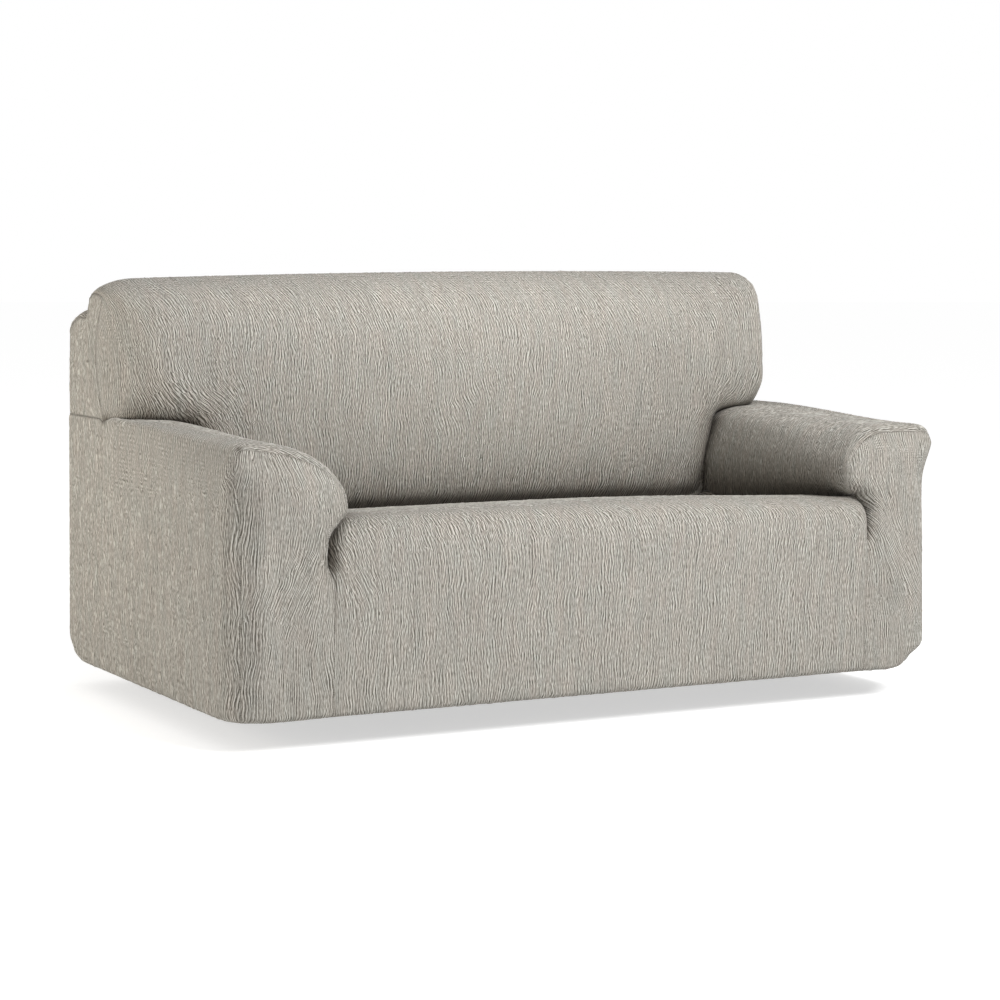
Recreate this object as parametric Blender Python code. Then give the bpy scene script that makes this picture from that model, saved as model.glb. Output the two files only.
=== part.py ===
"""A fitted stretch cover for a two-seat sofa, sewn from nine panels.

Every panel is a thin closed shell round an open surface, which is worked out from the sizes
below and then moved by the main folds. Neighbouring panels share one seam curve, and each
stops half a seam gap short of it. Lengths are in metres. The surfaces are worked out with X
to the right, Y from the front of the sofa to its rear and Z from the floor, and an empty then
carries the panels so that the origin lies under the top of the backrest, where the sofa holds
the cover up.
"""

import bpy
import numpy as np

# Driving sizes of the covered sofa
HALF_WIDTH = 0.803
DEPTH = 1.008
HEM_HEIGHT = 0.060
BACK_TOP = 0.9035
ARM_SEAM_HEIGHT = 0.594
GUSSET_START = 0.74
CORNER_RADIUS = 0.070
REAR_CORNER_RADIUS = 0.050

# The cloth and its sewing
CLOTH_THICKNESS = 0.002
SEAM_GAP = 0.0024
SAME_POINT = 0.0001
MITRE_LIMIT = 1.3
EDGE_SHARE = 0.05
CLOTH_COLOUR = (0.44, 0.42, 0.38)
CLOTH_ROUGHNESS = 0.92
SHARP_ANGLE = 60

# The point of the sofa that holds the cover up, under the middle of the backrest's top
HOLD_Y = 0.745
HOLD_Z = BACK_TOP - CLOTH_THICKNESS

# Rows and columns of the panels' surfaces
SPLIT_ROW = 16
SHOULDER_ROW = 24
CREASE_ROW = 29
EDGE_COLS = 2
BACK_COL = 14
REAR_COL = 22
SEAT_COLS = 24
SEAT_FRONT_ROWS = 11
SEAT_ROWS = SEAT_FRONT_ROWS + BACK_COL
WING_COLS = SHOULDER_ROW - SPLIT_ROW
BACK_COLS = SEAT_COLS + 2 * WING_COLS
NOTCH_ROW = CREASE_ROW - SHOULDER_ROW
DART_ROW = 15
BACK_ROWS = 23
GUSSET_ROWS = DART_ROW - NOTCH_ROW
GUSSET_COLS = BACK_ROWS - DART_ROW
REAR_ROWS = SPLIT_ROW + GUSSET_ROWS

# How far from a seam a panel starts to curl towards it
CREASE_REACH = 0.045
WING_REACH_LEFT = 0.115
WING_REACH_RIGHT = 0.056
TOP_REACH_LEFT = 0.070
TOP_REACH_RIGHT = 0.044
LOW_REACH = 0.110
SEAT_REACH = 0.045

# How full or slack the panels are
GUSSET_PUFF = 0.002
ARM_FRONT_PUFF = 0.007
BACK_FULLNESS = 0.016
BACK_SET_BACK = 0.012
SEAT_FALL = 0.010
SEAT_CROWN = 0.004
BACK_CROWN = 0.0139
BACK_CROWN_X = 0.25

W = HALF_WIDTH
H = HEM_HEIGHT

# The hem, turned in under the sofa: how far in from the wall, and how far above the hem's height
HEM_COLUMNS = ("row", "inset", "up")
HEM_CURL = (
    (0, 0.045, 0.001),
    (1, 0.030, -0.003),
    (2, 0.005, 0.003),
    (3, 0.001, 0.021),
    (4, 0.000, 0.065),
)
HEM_ROWS = 4

# Across an arm, from the edge of the hem under the sofa, up the outer wall, over the roll and
# down to the seat. x is the distance from the sofa's middle. "front" is just behind the front
# edge and "back" is at the backrest. The front edge is rounded to "round", starts "set_in"
# behind the front, and the seam lies "turn" degrees round it.
ARM_COLUMNS = ("row", "x_front", "z_front", "x_back", "z_back", "round", "turn", "set_in")
WALL_ROWS = 9
HEM_PATH = tuple(
    (row, W - inset, H + up, W - inset, H + up, CORNER_RADIUS - inset, 45, inset)
    for row, inset, up in HEM_CURL
) + (
    (5, W + 0.000, 0.1750, W + 0.000, 0.1750, 0.070, 45, 0.000),
    (9, W + 0.000, 0.3500, W + 0.000, 0.3500, 0.070, 45, 0.000),
)
LEFT_ARM_PATH = HEM_PATH + (
    (12, W + 0.001, 0.4600, W + 0.000, 0.4550, 0.068, 45, 0.000),
    (14, W + 0.009, 0.5200, W + 0.001, 0.5250, 0.052, 43, 0.000),
    (15, W + 0.004, 0.5500, W + 0.001, 0.5620, 0.036, 42, 0.000),
    (16, W - 0.010, 0.5800, W + 0.000, ARM_SEAM_HEIGHT, 0.028, 42, 0.002),
    (18, 0.7480, 0.5860, 0.7770, 0.5955, 0.040, 38, 0.000),
    (20, 0.7020, 0.5800, 0.7330, 0.5955, 0.044, 38, 0.000),
    (22, 0.6490, 0.5640, 0.6880, 0.5920, 0.042, 38, 0.000),
    (24, 0.6060, 0.5380, 0.6450, 0.5740, 0.036, 40, 0.000),
    (26, 0.5720, 0.4960, 0.6200, 0.5170, 0.028, 44, 0.000),
    (27, 0.5610, 0.4630, 0.6110, 0.4680, 0.024, 48, 0.006),
    (28, 0.5620, 0.4420, 0.6090, 0.4280, 0.018, 50, 0.016),
    (29, 0.5655, 0.4280, 0.6120, 0.3950, 0.022, 45, 0.027),
)
RIGHT_ARM_PATH = HEM_PATH + (
    (12, W + 0.000, 0.4600, W + 0.000, 0.4550, 0.070, 45, 0.000),
    (14, W + 0.017, 0.5130, W + 0.001, 0.5250, 0.070, 45, 0.000),
    (15, W + 0.014, 0.5420, W + 0.001, 0.5620, 0.052, 43, 0.000),
    (16, W - 0.007, 0.5710, W + 0.000, ARM_SEAM_HEIGHT, 0.040, 42, 0.002),
    (18, 0.7560, 0.5780, 0.7770, 0.5900, 0.044, 42, 0.000),
    (20, 0.7080, 0.5785, 0.7330, 0.5890, 0.044, 42, 0.000),
    (22, 0.6600, 0.5750, 0.6880, 0.5860, 0.042, 42, 0.000),
    (24, 0.6160, 0.5560, 0.6450, 0.5700, 0.038, 42, 0.000),
    (26, 0.5860, 0.5160, 0.6200, 0.5170, 0.028, 42, 0.000),
    (27, 0.5800, 0.4850, 0.6110, 0.4680, 0.024, 44, 0.002),
    (28, 0.5880, 0.4520, 0.6120, 0.4280, 0.018, 45, 0.012),
    (29, 0.6155, 0.4270, 0.6160, 0.3950, 0.024, 45, 0.031),
)

# Where each row of an arm ends against the backrest
ARM_END_COLUMNS = ("row", "y")
ARM_END = (
    (0, GUSSET_START),
    (SPLIT_ROW, GUSSET_START),
    (17, 0.712),
    (18, 0.690),
    (20, 0.660),
    (22, 0.640),
    (24, 0.628),
    (27, 0.620),
    (29, 0.632),
)

# The seam between a seat side and an arm front, from the hem to the seat's crease
SEAT_SEAM_COLUMNS = ("row", "x_left", "x_right", "y", "z")
SEAT_SEAM = (
    (0, 0.600, 0.619, 0.045, H + 0.004),
    (1, 0.600, 0.619, 0.030, H + 0.000),
    (2, 0.600, 0.619, 0.005, H + 0.006),
    (3, 0.600, 0.619, 0.001, H + 0.024),
    (4, 0.600, 0.619, 0.000, H + 0.068),
    (5, 0.599, 0.621, 0.000, 0.1850),
    (7, 0.597, 0.630, 0.003, 0.3080),
    (8, 0.600, 0.634, 0.011, 0.3480),
    (9, 0.599, 0.637, 0.020, 0.3800),
    (10, 0.589, 0.636, 0.028, 0.4060),
)

# Through the middle of the seat panel, from the edge of the hem to the crease at the backrest
SEAT_COLUMNS = ("row", "y", "z")
SEAT_PROFILE = (
    (0, 0.045, H + 0.004),
    (1, 0.030, H + 0.000),
    (2, 0.005, H + 0.006),
    (3, 0.001, H + 0.024),
    (4, 0.000, H + 0.068),
    (5, -0.001, 0.1850),
    (7, -0.004, 0.3080),
    (8, -0.005, 0.3580),
    (9, 0.000, 0.3980),
    (10, 0.014, 0.4230),
    (11, 0.038, 0.4355),
    (12, 0.056, 0.4385),
    (13, 0.080, 0.4392),
    (15, 0.170, 0.4352),
    (20, 0.430, 0.4115),
    (23, 0.590, 0.3950),
    (SEAT_ROWS, 0.655, 0.3850),
)

# Through the middle of the backrest, from the seat's crease over the top to the rear seam
BACK_COLUMNS = ("row", "y", "z")
BACK_PROFILE = (
    (0, 0.655, 0.3850),
    (1, 0.630, 0.4120),
    (2, 0.614, 0.4520),
    (3, 0.604, 0.5000),
    (5, 0.597, 0.5900),
    (8, 0.595, 0.6830),
    (11, 0.601, 0.7700),
    (13, 0.618, 0.8280),
    (14, 0.635, 0.8550),
    (15, 0.663, 0.8800),
    (16, 0.702, 0.8975),
    (17, HOLD_Y, BACK_TOP),
    (18, 0.798, 0.8960),
    (19, 0.844, 0.8740),
    (20, 0.884, 0.8480),
    (21, 0.922, 0.8330),
    (22, 0.962, 0.8200),
    (23, 0.9934, 0.8000),
)

# The seam round a side gusset: up the cushion's side, over it, down its step and along the
# lower frame behind it
GUSSET_COLUMNS = ("row", "y", "z")
GUSSET_FRONT_SEAM = (
    (5, GUSSET_START, ARM_SEAM_HEIGHT),
    (6, 0.758, 0.6220),
    (8, 0.786, 0.6800),
    (10, 0.797, 0.7350),
    (12, 0.786, 0.7830),
    (14, 0.763, 0.8290),
    (15, 0.750, 0.8510),
)
GUSSET_TOP_SEAM = (
    (15, 0.750, 0.8510),
    (16, 0.786, 0.8580),
    (17, 0.822, 0.8555),
    (18, 0.838, 0.8400),
    (19, 0.849, 0.8215),
    (20, 0.880, 0.8120),
    (21, 0.918, 0.8030),
    (22, 0.956, 0.7870),
    (23, 0.9934, 0.7500),
)


# Main folds: a line from one point to another, the distance either side at which the fold has
# sunk to a third, and how far its middle is moved
FOLD_COLUMNS = ("x1", "y1", "z1", "x2", "y2", "z2", "reach", "move_x", "move_y", "move_z")
FOLDS = (
    (-0.795, 0.020, 0.120, -0.790, 0.020, 0.450, 0.018, 0.0020, 0.0015, 0.0),
    (-0.745, 0.000, 0.120, -0.742, 0.000, 0.500, 0.018, 0.0, -0.0025, 0.0),
    (-0.700, 0.000, 0.100, -0.705, 0.000, 0.400, 0.020, 0.0, 0.0020, 0.0),
    (-0.650, 0.000, 0.180, -0.630, 0.000, 0.440, 0.020, 0.0, -0.0030, 0.0),
    (-0.450, 0.000, 0.380, -0.430, 0.000, 0.120, 0.030, 0.0, 0.0025, 0.0),
    (-0.200, 0.000, 0.360, -0.230, 0.000, 0.100, 0.035, 0.0, -0.0020, 0.0),
    (0.225, 0.000, 0.300, 0.190, 0.000, 0.090, 0.028, 0.0, 0.0030, 0.0),
    (0.420, 0.000, 0.340, 0.410, 0.000, 0.120, 0.032, 0.0, -0.0020, 0.0),
    (0.645, 0.000, 0.400, 0.700, 0.000, 0.240, 0.020, 0.0, -0.0030, 0.0),
    (0.680, 0.000, 0.420, 0.745, 0.000, 0.280, 0.020, 0.0, 0.0020, 0.0),
    (0.790, 0.010, 0.465, 0.710, 0.000, 0.475, 0.014, 0.0, 0.0030, 0.0),
    (-0.650, 0.610, 0.620, -0.735, 0.600, 0.720, 0.022, 0.0, -0.0040, 0.0),
    (-0.610, 0.605, 0.630, -0.650, 0.600, 0.770, 0.020, 0.0, 0.0030, 0.0),
    (0.655, 0.610, 0.620, 0.720, 0.600, 0.710, 0.020, 0.0, -0.0030, 0.0),
    (-0.310, 0.605, 0.450, -0.300, 0.598, 0.600, 0.035, 0.0, -0.0030, 0.0),
    (0.030, 0.605, 0.450, 0.020, 0.598, 0.580, 0.035, 0.0, 0.0025, 0.0),
    (0.360, 0.605, 0.450, 0.340, 0.598, 0.620, 0.035, 0.0, -0.0030, 0.0),
    (-0.803, 0.160, 0.480, -0.803, 0.140, 0.150, 0.040, -0.0025, 0.0, 0.0),
    (-0.803, 0.400, 0.500, -0.803, 0.430, 0.130, 0.045, 0.0025, 0.0, 0.0),
    (-0.803, 0.650, 0.560, -0.803, 0.620, 0.160, 0.045, -0.0025, 0.0, 0.0),
    (0.803, 0.300, 0.480, 0.803, 0.330, 0.140, 0.045, 0.0020, 0.0, 0.0),
)

# Tucks at the hem's corners: which side, which depth, and how far each draws the cloth in
TUCK_COLUMNS = ("side", "corner_y", "in_x", "in_y", "up")
TUCK_REACH = 0.125
TUCK_TOP = 0.115
TUCKS = (
    (1, 0.0, 0.042, 0.012, 0.010),
    (-1, 0.0, 0.004, 0.004, 0.003),
    (-1, DEPTH, 0.008, -0.014, 0.010),
    (1, DEPTH, 0.008, -0.014, 0.010),
)


def column(table, names, name):
    """One named column of a table."""
    return np.array([row[names.index(name)] for row in table], float)


def through(knots, values, at):
    """A smooth curve through the values at the knots, read at any places."""
    knots = np.asarray(knots, float)
    values = np.asarray(values, float)
    at = np.asarray(at, float)
    slopes = np.empty_like(values)
    slopes[1:-1] = (values[2:] - values[:-2]) / (knots[2:] - knots[:-2])
    slopes[0] = (values[1] - values[0]) / (knots[1] - knots[0])
    slopes[-1] = (values[-1] - values[-2]) / (knots[-1] - knots[-2])
    start = np.clip(np.searchsorted(knots, at, side="right") - 1, 0, len(knots) - 2)
    span = knots[start + 1] - knots[start]
    t = (at - knots[start]) / span
    rise = values[start + 1] - values[start]
    a = slopes[start] * span - rise
    b = rise - slopes[start + 1] * span
    return values[start] + t * rise + t * (1 - t) * (a * (1 - t) + b * t)


def read(table, names, name, at):
    return through(column(table, names, "row"), column(table, names, name), at)


def ease(t):
    """From 0 to 1 with level ends."""
    t = np.clip(t, 0, 1)
    return t * t * (3 - 2 * t)


def curl(t):
    """From 1 at a seam to 0 further in, along a quarter round."""
    t = np.clip(t, 0, 1)
    return 1 - np.sqrt(1 - (1 - t) ** 2)


def grid(rows, cols):
    return np.meshgrid(np.asarray(rows, float), np.asarray(cols, float), indexing="ij")


def arm_section(path, rows, y):
    """Across an arm at depth y: distance from the middle, and height."""
    share = ease((y - 0.05) / 0.58)
    x = read(path, ARM_COLUMNS, "x_front", rows) * (1 - share)
    x += read(path, ARM_COLUMNS, "x_back", rows) * share
    z = read(path, ARM_COLUMNS, "z_front", rows) * (1 - share)
    z += read(path, ARM_COLUMNS, "z_back", rows) * share
    return x, z


def arm_surface(side, rows, cols):
    """Points of an arm panel. side is -1 for the left arm and 1 for the right."""
    path = LEFT_ARM_PATH if side < 0 else RIGHT_ARM_PATH
    row, col = grid(rows, cols)
    radius = read(path, ARM_COLUMNS, "round", row)
    set_in = read(path, ARM_COLUMNS, "set_in", row)
    turn = np.radians(read(path, ARM_COLUMNS, "turn", row))
    end = read(ARM_END, ARM_END_COLUMNS, "y", row)
    front = set_in + radius

    angle = turn + (np.pi / 2 - turn) * np.clip(col / EDGE_COLS, 0, 1)
    inset = radius * (1 - np.sin(angle))
    along = np.clip((col - EDGE_COLS) / (BACK_COL - EDGE_COLS), 0, 1)
    edge_y = set_in + radius * (1 - np.cos(angle))
    y = np.where(col < EDGE_COLS, edge_y, front + (end - front) * along)

    rear_cols = REAR_COL - BACK_COL - EDGE_COLS
    behind = np.clip((col - BACK_COL) / rear_cols, 0, 1)
    y = y + (DEPTH - REAR_CORNER_RADIUS - GUSSET_START) * behind
    x, z = arm_section(path, row, y)

    step = 0.02
    x_up, z_up = arm_section(path, row + step, y)
    x_down, z_down = arm_section(path, row - step, y)
    out_x, out_z = z_up - z_down, x_down - x_up
    length = np.hypot(out_x, out_z)
    on_wall = row < WALL_ROWS
    out_x = np.where(on_wall, 1.0, out_x / length)
    out_z = np.where(on_wall, 0.0, out_z / length)
    x = x - inset * out_x
    z = z - inset * out_z

    rear_angle = np.pi / 4 * np.clip((col - BACK_COL - rear_cols) / EDGE_COLS, 0, 1)
    rear_radius = REAR_CORNER_RADIUS - (HALF_WIDTH - x)
    turned = col > REAR_COL - EDGE_COLS
    x = np.where(turned, x - rear_radius * (1 - np.cos(rear_angle)), x)
    y = np.where(turned, y + rear_radius * np.sin(rear_angle), y)
    return np.stack([side * x, y, z], axis=-1)


def arm_front_surface(side, rows, cols):
    """Points of an arm's front panel: rows go up from the hem, columns from outside to inside."""
    row, col = grid(rows, cols)
    outer = arm_surface(side, rows, [0])[:, 0]
    top = arm_surface(side, SPLIT_ROW + np.asarray(cols, float), [0])[:, 0]
    inner = arm_front_inner_edge(side, rows)
    bottom_outer = arm_surface(side, [0], [0])[0, 0]
    bottom_inner = arm_front_inner_edge(side, [0])[0]
    top_outer = arm_surface(side, [SPLIT_ROW], [0])[0, 0]
    top_inner = arm_surface(side, [SHOULDER_ROW], [0])[0, 0]

    across = (col / WING_COLS)[..., None]
    up = (row / SPLIT_ROW)[..., None]
    along_hem = (np.asarray(cols, float) / WING_COLS)[:, None]
    bottom = bottom_outer + (bottom_inner - bottom_outer) * along_hem
    # Where the inner seam lies deep, the last columns reach it before they turn back.
    deep = ease(inner[:, None, 1:2] / 0.04)
    across = across + deep * (1 - across) * 0.9 * ease(3 * across - 2)
    points = outer[:, None] * (1 - across) + inner[:, None] * across
    # The rows keep their own heights up the wall, and bend into the roll's top near the end.
    ends = top_outer * (1 - across) + top_inner * across
    low_ends = bottom_outer * (1 - across) + bottom_inner * across
    points = points + (top[None] - ends) * up**3 + (bottom[None] - low_ends) * (1 - up)

    y = outer[:, None, 1] * curl_in(col) + inner[:, None, 1] * curl_in(WING_COLS - col)
    between = 1 - curl_in(col) - curl_in(WING_COLS - col)
    y = y + read(HEM_CURL, HEM_COLUMNS, "inset", np.clip(row, 0, HEM_ROWS)) * between
    inside = ease(np.minimum(col, WING_COLS - col))
    y = y + (top[None, :, 1] - y) * ease(up[..., 0] * 8 - 7) * inside
    under_roll = ease((row - WALL_ROWS) / 4) * (1 - ease((row - SPLIT_ROW + 2) / 2))
    points[..., 1] = y - ARM_FRONT_PUFF * np.sin(np.pi * col / WING_COLS) * under_roll
    return points


def curl_in(col):
    """The share of a front edge's depth that is left this many columns in from it."""
    return np.clip(1 - col / EDGE_COLS, 0, 1) ** 2


def arm_front_inner_edge(side, rows):
    """The front panel's inner edge: up the seat's seam, then round the inside of the roll."""
    rows = np.asarray(rows, float)
    low = seat_seam(side, np.clip(rows, 0, SEAT_FRONT_ROWS))
    high = arm_surface(side, CREASE_ROW - np.clip(rows - SEAT_FRONT_ROWS, 0, NOTCH_ROW), [0])[:, 0]
    return np.where((rows <= SEAT_FRONT_ROWS)[:, None], low, high)


def seat_seam(side, rows):
    """The seam between the seat panel and an arm's front, up to where the arm's roll begins."""
    meet = arm_surface(side, [CREASE_ROW], [0])[0, 0]
    name = "x_left" if side < 0 else "x_right"
    knots = np.append(column(SEAT_SEAM, SEAT_SEAM_COLUMNS, "row"), SEAT_FRONT_ROWS)
    x = np.append(column(SEAT_SEAM, SEAT_SEAM_COLUMNS, name), abs(meet[0]))
    y = np.append(column(SEAT_SEAM, SEAT_SEAM_COLUMNS, "y"), meet[1])
    z = np.append(column(SEAT_SEAM, SEAT_SEAM_COLUMNS, "z"), meet[2])
    x, y, z = (through(knots, values, rows) for values in (side * x, y, z))
    return np.stack([x, y, z], axis=-1)


def seat_side(side, rows):
    """One side of the seat panel: up the seat's seam, then back along the crease at the arm."""
    rows = np.asarray(rows, float)
    front = seat_seam(side, np.clip(rows, 0, SEAT_FRONT_ROWS))
    top = arm_surface(side, [CREASE_ROW], np.clip(rows - SEAT_FRONT_ROWS, 0, BACK_COL))[0]
    return np.where((rows <= SEAT_FRONT_ROWS)[:, None], front, top)


def spread(share):
    """Columns set closer together towards both ends."""
    return 0.35 * share + 0.65 * (1 - np.cos(np.pi * share)) / 2


def seat_surface(rows, cols):
    """Points of the seat panel: rows go up the front and back over the seat."""
    row, col = grid(rows, cols)
    left, right = seat_side(-1, rows), seat_side(1, rows)
    share = spread(col / SEAT_COLS)
    x = left[:, None, 0] + (right[:, None, 0] - left[:, None, 0]) * share
    y = read(SEAT_PROFILE, SEAT_COLUMNS, "y", row)
    z = read(SEAT_PROFILE, SEAT_COLUMNS, "z", row)
    on_top = ease((row - 7) / 4)
    z = z - SEAT_FALL * ease((x - 0.15) / 0.45) * on_top
    z = z - SEAT_CROWN * ease((row - 10) / 4) * (x / 0.6) ** 2
    base = np.stack([x, y, z], axis=-1)
    near_left = curl((x - left[:, None, 0]) / SEAT_REACH)[..., None]
    near_right = curl((right[:, None, 0] - x) / SEAT_REACH)[..., None]
    base += near_left * (left - base[:, 0])[:, None]
    return base + near_right * (right - base[:, -1])[:, None]


def arm_end(side, arm_rows):
    """Where an arm meets the backrest, at any of the arm's rows."""
    flat = np.asarray(arm_rows, float).ravel()
    return arm_surface(side, flat, [BACK_COL])[:, 0].reshape(np.shape(arm_rows) + (3,))


def back_form(x, row):
    """The puffed backrest without its edges: depth and height."""
    y = read(BACK_PROFILE, BACK_COLUMNS, "y", row)
    z = read(BACK_PROFILE, BACK_COLUMNS, "z", row)
    fullness = 1 - (x / HALF_WIDTH) ** 2
    y = y + BACK_SET_BACK - BACK_FULLNESS * fullness * ease(row / 5) * (1 - ease((row - 13) / 5))
    z = z - BACK_CROWN * (x - BACK_CROWN_X) ** 2 * ease((row - 8) / 8)
    return y, z


def back_lower_edge(side, row, col):
    """Where the backrest's panel rests: on the arm's top under a wing, else on its inner side."""
    place = col if side < 0 else BACK_COLS - col
    at_row = np.where(place < WING_COLS, NOTCH_ROW, np.clip(row, 0, NOTCH_ROW))
    under_wing = SPLIT_ROW + np.clip(place, 0, WING_COLS)
    return arm_end(side, np.where(place < WING_COLS, under_wing, CREASE_ROW - at_row)), at_row


def back_body(rows, cols):
    """The backrest's front panel, set on the arms but not yet drawn back to the gussets."""
    row, col = grid(rows, cols)
    left, left_row = back_lower_edge(-1, row, col)
    right, right_row = back_lower_edge(1, row, col)
    share = spread(np.clip((col - WING_COLS) / SEAT_COLS, 0, 1))
    x = left[..., 0] + (right[..., 0] - left[..., 0]) * share
    x = np.where(col < WING_COLS, left[..., 0], x)
    x = np.where(col > BACK_COLS - WING_COLS, right[..., 0], x)

    # Over the arms the rows crowd down towards the wing's lower edge.
    wing = 1 - ease((np.minimum(col, BACK_COLS - col) - 5) / 5)
    lift = np.clip((row - NOTCH_ROW) / 6, 0, 1)
    y, z = back_form(x, row - 1.6 * wing * np.sin(np.pi * lift) * (1 - lift))
    points = np.stack([x, y, z], axis=-1)
    above = np.where(row > NOTCH_ROW, curl((row - NOTCH_ROW) / 3), 1.0)
    for edge, edge_row in ((left, left_row), (right, right_row)):
        form_y, form_z = back_form(edge[..., 0], edge_row)
        hold = above * curl(np.abs(x - edge[..., 0]) / CREASE_REACH)
        points[..., 1] += hold * (edge[..., 1] - form_y)
        points[..., 2] += hold * (edge[..., 2] - form_z)
    return points


def back_surface(rows, cols):
    """Points of the backrest's front panel, drawn to the seat's crease and the gussets' seams."""
    row, col = grid(rows, cols)
    body = back_body(rows, cols)
    points = body.copy()
    for side, seam_col in ((-1, 0), (1, BACK_COLS)):
        gap = gusset_seam(side, rows) - back_body(rows, [seam_col])[:, 0]
        gap = np.where((np.asarray(rows) >= NOTCH_ROW)[:, None], gap, 0)
        reach, top_reach = (
            (WING_REACH_LEFT, TOP_REACH_LEFT) if side < 0 else (WING_REACH_RIGHT, TOP_REACH_RIGHT)
        )
        reach = reach + (top_reach - reach) * ease((row - 12) / 3)
        reach = reach + (LOW_REACH - reach) * (1 - ease((row - NOTCH_ROW) / 3))
        near = curl((HALF_WIDTH - side * body[..., 0]) / reach)
        points += near[..., None] * gap[:, None]
    seat_cols = np.clip(np.asarray(cols, float) - WING_COLS, 0, SEAT_COLS)
    crease = seat_surface([SEAT_ROWS], seat_cols)[0]
    gap = crease - back_body([0], WING_COLS + seat_cols)[0]
    return points + curl(row / 2)[..., None] * gap[None]


def gusset_seam(side, rows):
    """The seam between the backrest's front panel and a side gusset."""
    rows = np.asarray(rows, float)
    front = np.clip(rows, NOTCH_ROW, DART_ROW)
    over = np.clip(rows, DART_ROW, BACK_ROWS)
    y, z = (
        np.where(
            rows <= DART_ROW,
            read(GUSSET_FRONT_SEAM, GUSSET_COLUMNS, name, front),
            read(GUSSET_TOP_SEAM, GUSSET_COLUMNS, name, over),
        )
        for name in ("y", "z")
    )
    return np.stack([side * wall_x(y), y, z], axis=-1)


def wall_x(y):
    """How far the outer wall lies from the middle, with its rear corner rounded."""
    past = np.clip(y - (DEPTH - REAR_CORNER_RADIUS), 0, REAR_CORNER_RADIUS)
    return HALF_WIDTH - REAR_CORNER_RADIUS + np.sqrt(REAR_CORNER_RADIUS**2 - past**2)


def gusset_rear_edge(side, rows):
    """The upright rear corner from the arm's seam to the top."""
    low = arm_surface(side, [SPLIT_ROW], [REAR_COL])[0, 0]
    high = gusset_seam(side, [BACK_ROWS])[0]
    share = (np.asarray(rows, float) / GUSSET_ROWS)[:, None]
    return low + (high - low) * share


def gusset_surface(side, rows, cols):
    """Points of a side gusset: rows go up, columns go back."""
    row, col = grid(rows, cols)
    up = (row / GUSSET_ROWS)[..., None]
    back = (col / GUSSET_COLS)[..., None]
    front_edge = gusset_seam(side, NOTCH_ROW + np.asarray(rows, float))[:, None]
    rear_edge = gusset_rear_edge(side, rows)[:, None]
    top_edge = gusset_seam(side, DART_ROW + np.asarray(cols, float))[None]
    bottom_edge = arm_surface(side, [SPLIT_ROW], BACK_COL + np.asarray(cols, float))
    corners = (gusset_seam(side, [NOTCH_ROW, DART_ROW, BACK_ROWS]), gusset_rear_edge(side, [0])[0])
    (low_front, high_front, high_rear), low_rear = corners
    points = front_edge * (1 - back) + rear_edge * back
    points += bottom_edge * (1 - up) + top_edge * up
    points -= (low_front * (1 - back) + low_rear * back) * (1 - up)
    points -= (high_front * (1 - back) + high_rear * back) * up
    inside = np.sin(np.pi * row / GUSSET_ROWS) * np.sin(np.pi * col / GUSSET_COLS)
    x = wall_x(points[..., 1])
    points[..., 0] = side * (x + GUSSET_PUFF * inside)
    return points


def rear_surface(rows, cols):
    """Points of the rear panel: rows go up from the hem, columns go from left to right."""
    row, col = grid(rows, cols)
    rows = np.asarray(rows, float)
    top = back_surface([BACK_ROWS], cols)
    edges = []
    for side in (-1, 1):
        low = arm_surface(side, np.clip(rows, 0, SPLIT_ROW), [REAR_COL])[:, 0]
        high = gusset_rear_edge(side, np.clip(rows - SPLIT_ROW, 0, GUSSET_ROWS))
        edges.append(np.where((rows <= SPLIT_ROW)[:, None], low, high)[:, None])
    left, right = edges
    share = (top[..., 0] - top[0, 0, 0]) / (top[0, -1, 0] - top[0, 0, 0])
    x = left[..., 0] + (right[..., 0] - left[..., 0]) * share
    z = left[..., 2] + (right[..., 2] - left[..., 2]) * share
    edge_z = top[0, 0, 2] + (top[0, -1, 2] - top[0, 0, 2]) * share
    z = z + (top[..., 2] - edge_z) * np.clip((row - SPLIT_ROW) / GUSSET_ROWS, 0, 1)
    inset = read(HEM_CURL, HEM_COLUMNS, "inset", np.clip(row, 0, HEM_ROWS))
    radius = REAR_CORNER_RADIUS - inset
    past = np.clip(np.abs(x) - (HALF_WIDTH - REAR_CORNER_RADIUS), 0, radius)
    y = DEPTH - REAR_CORNER_RADIUS + np.sqrt(radius**2 - past**2)
    for edge, from_edge in ((left, share), (right, 1 - share)):
        rounded = np.clip(np.abs(edge[..., 0]) - (HALF_WIDTH - REAR_CORNER_RADIUS), 0, radius)
        edge_y = DEPTH - REAR_CORNER_RADIUS + np.sqrt(radius**2 - rounded**2)
        y = y + (edge[..., 1] - edge_y) * np.clip(1 - from_edge / EDGE_SHARE, 0, 1)
    y = y + (top[..., 1] - y) * ease((row - REAR_ROWS + 2) / 2)
    return np.stack([x, y, z], axis=-1)


def folded(points):
    """Points moved by the main folds."""
    moved = points.copy()
    for fold in FOLDS:
        start, end, move = np.array(fold[:3]), np.array(fold[3:6]), np.array(fold[7:])
        reach = fold[6]
        line = end - start
        along = np.clip((points - start) @ line / (line @ line), 0, 1)
        away = np.linalg.norm(points - start - along[..., None] * line, axis=-1)
        moved += np.exp(-((away / reach) ** 2))[..., None] * move
    return moved


def drawn_in(points):
    """Points moved by the tucks at the hem's corners, where the cloth is drawn in over a foot."""
    x, y, z = points[..., 0], points[..., 1], points[..., 2]
    moved = points.copy()
    for side, corner_y, in_x, in_y, up in TUCKS:
        away = np.hypot(HALF_WIDTH - side * x, y - corner_y)
        hold = ease(1 - away / TUCK_REACH) * ease((TUCK_TOP - z) / (TUCK_TOP - HEM_HEIGHT))
        moved[..., 0] -= side * in_x * hold
        moved[..., 1] += in_y * hold
        moved[..., 2] += up * hold
    return moved


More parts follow.
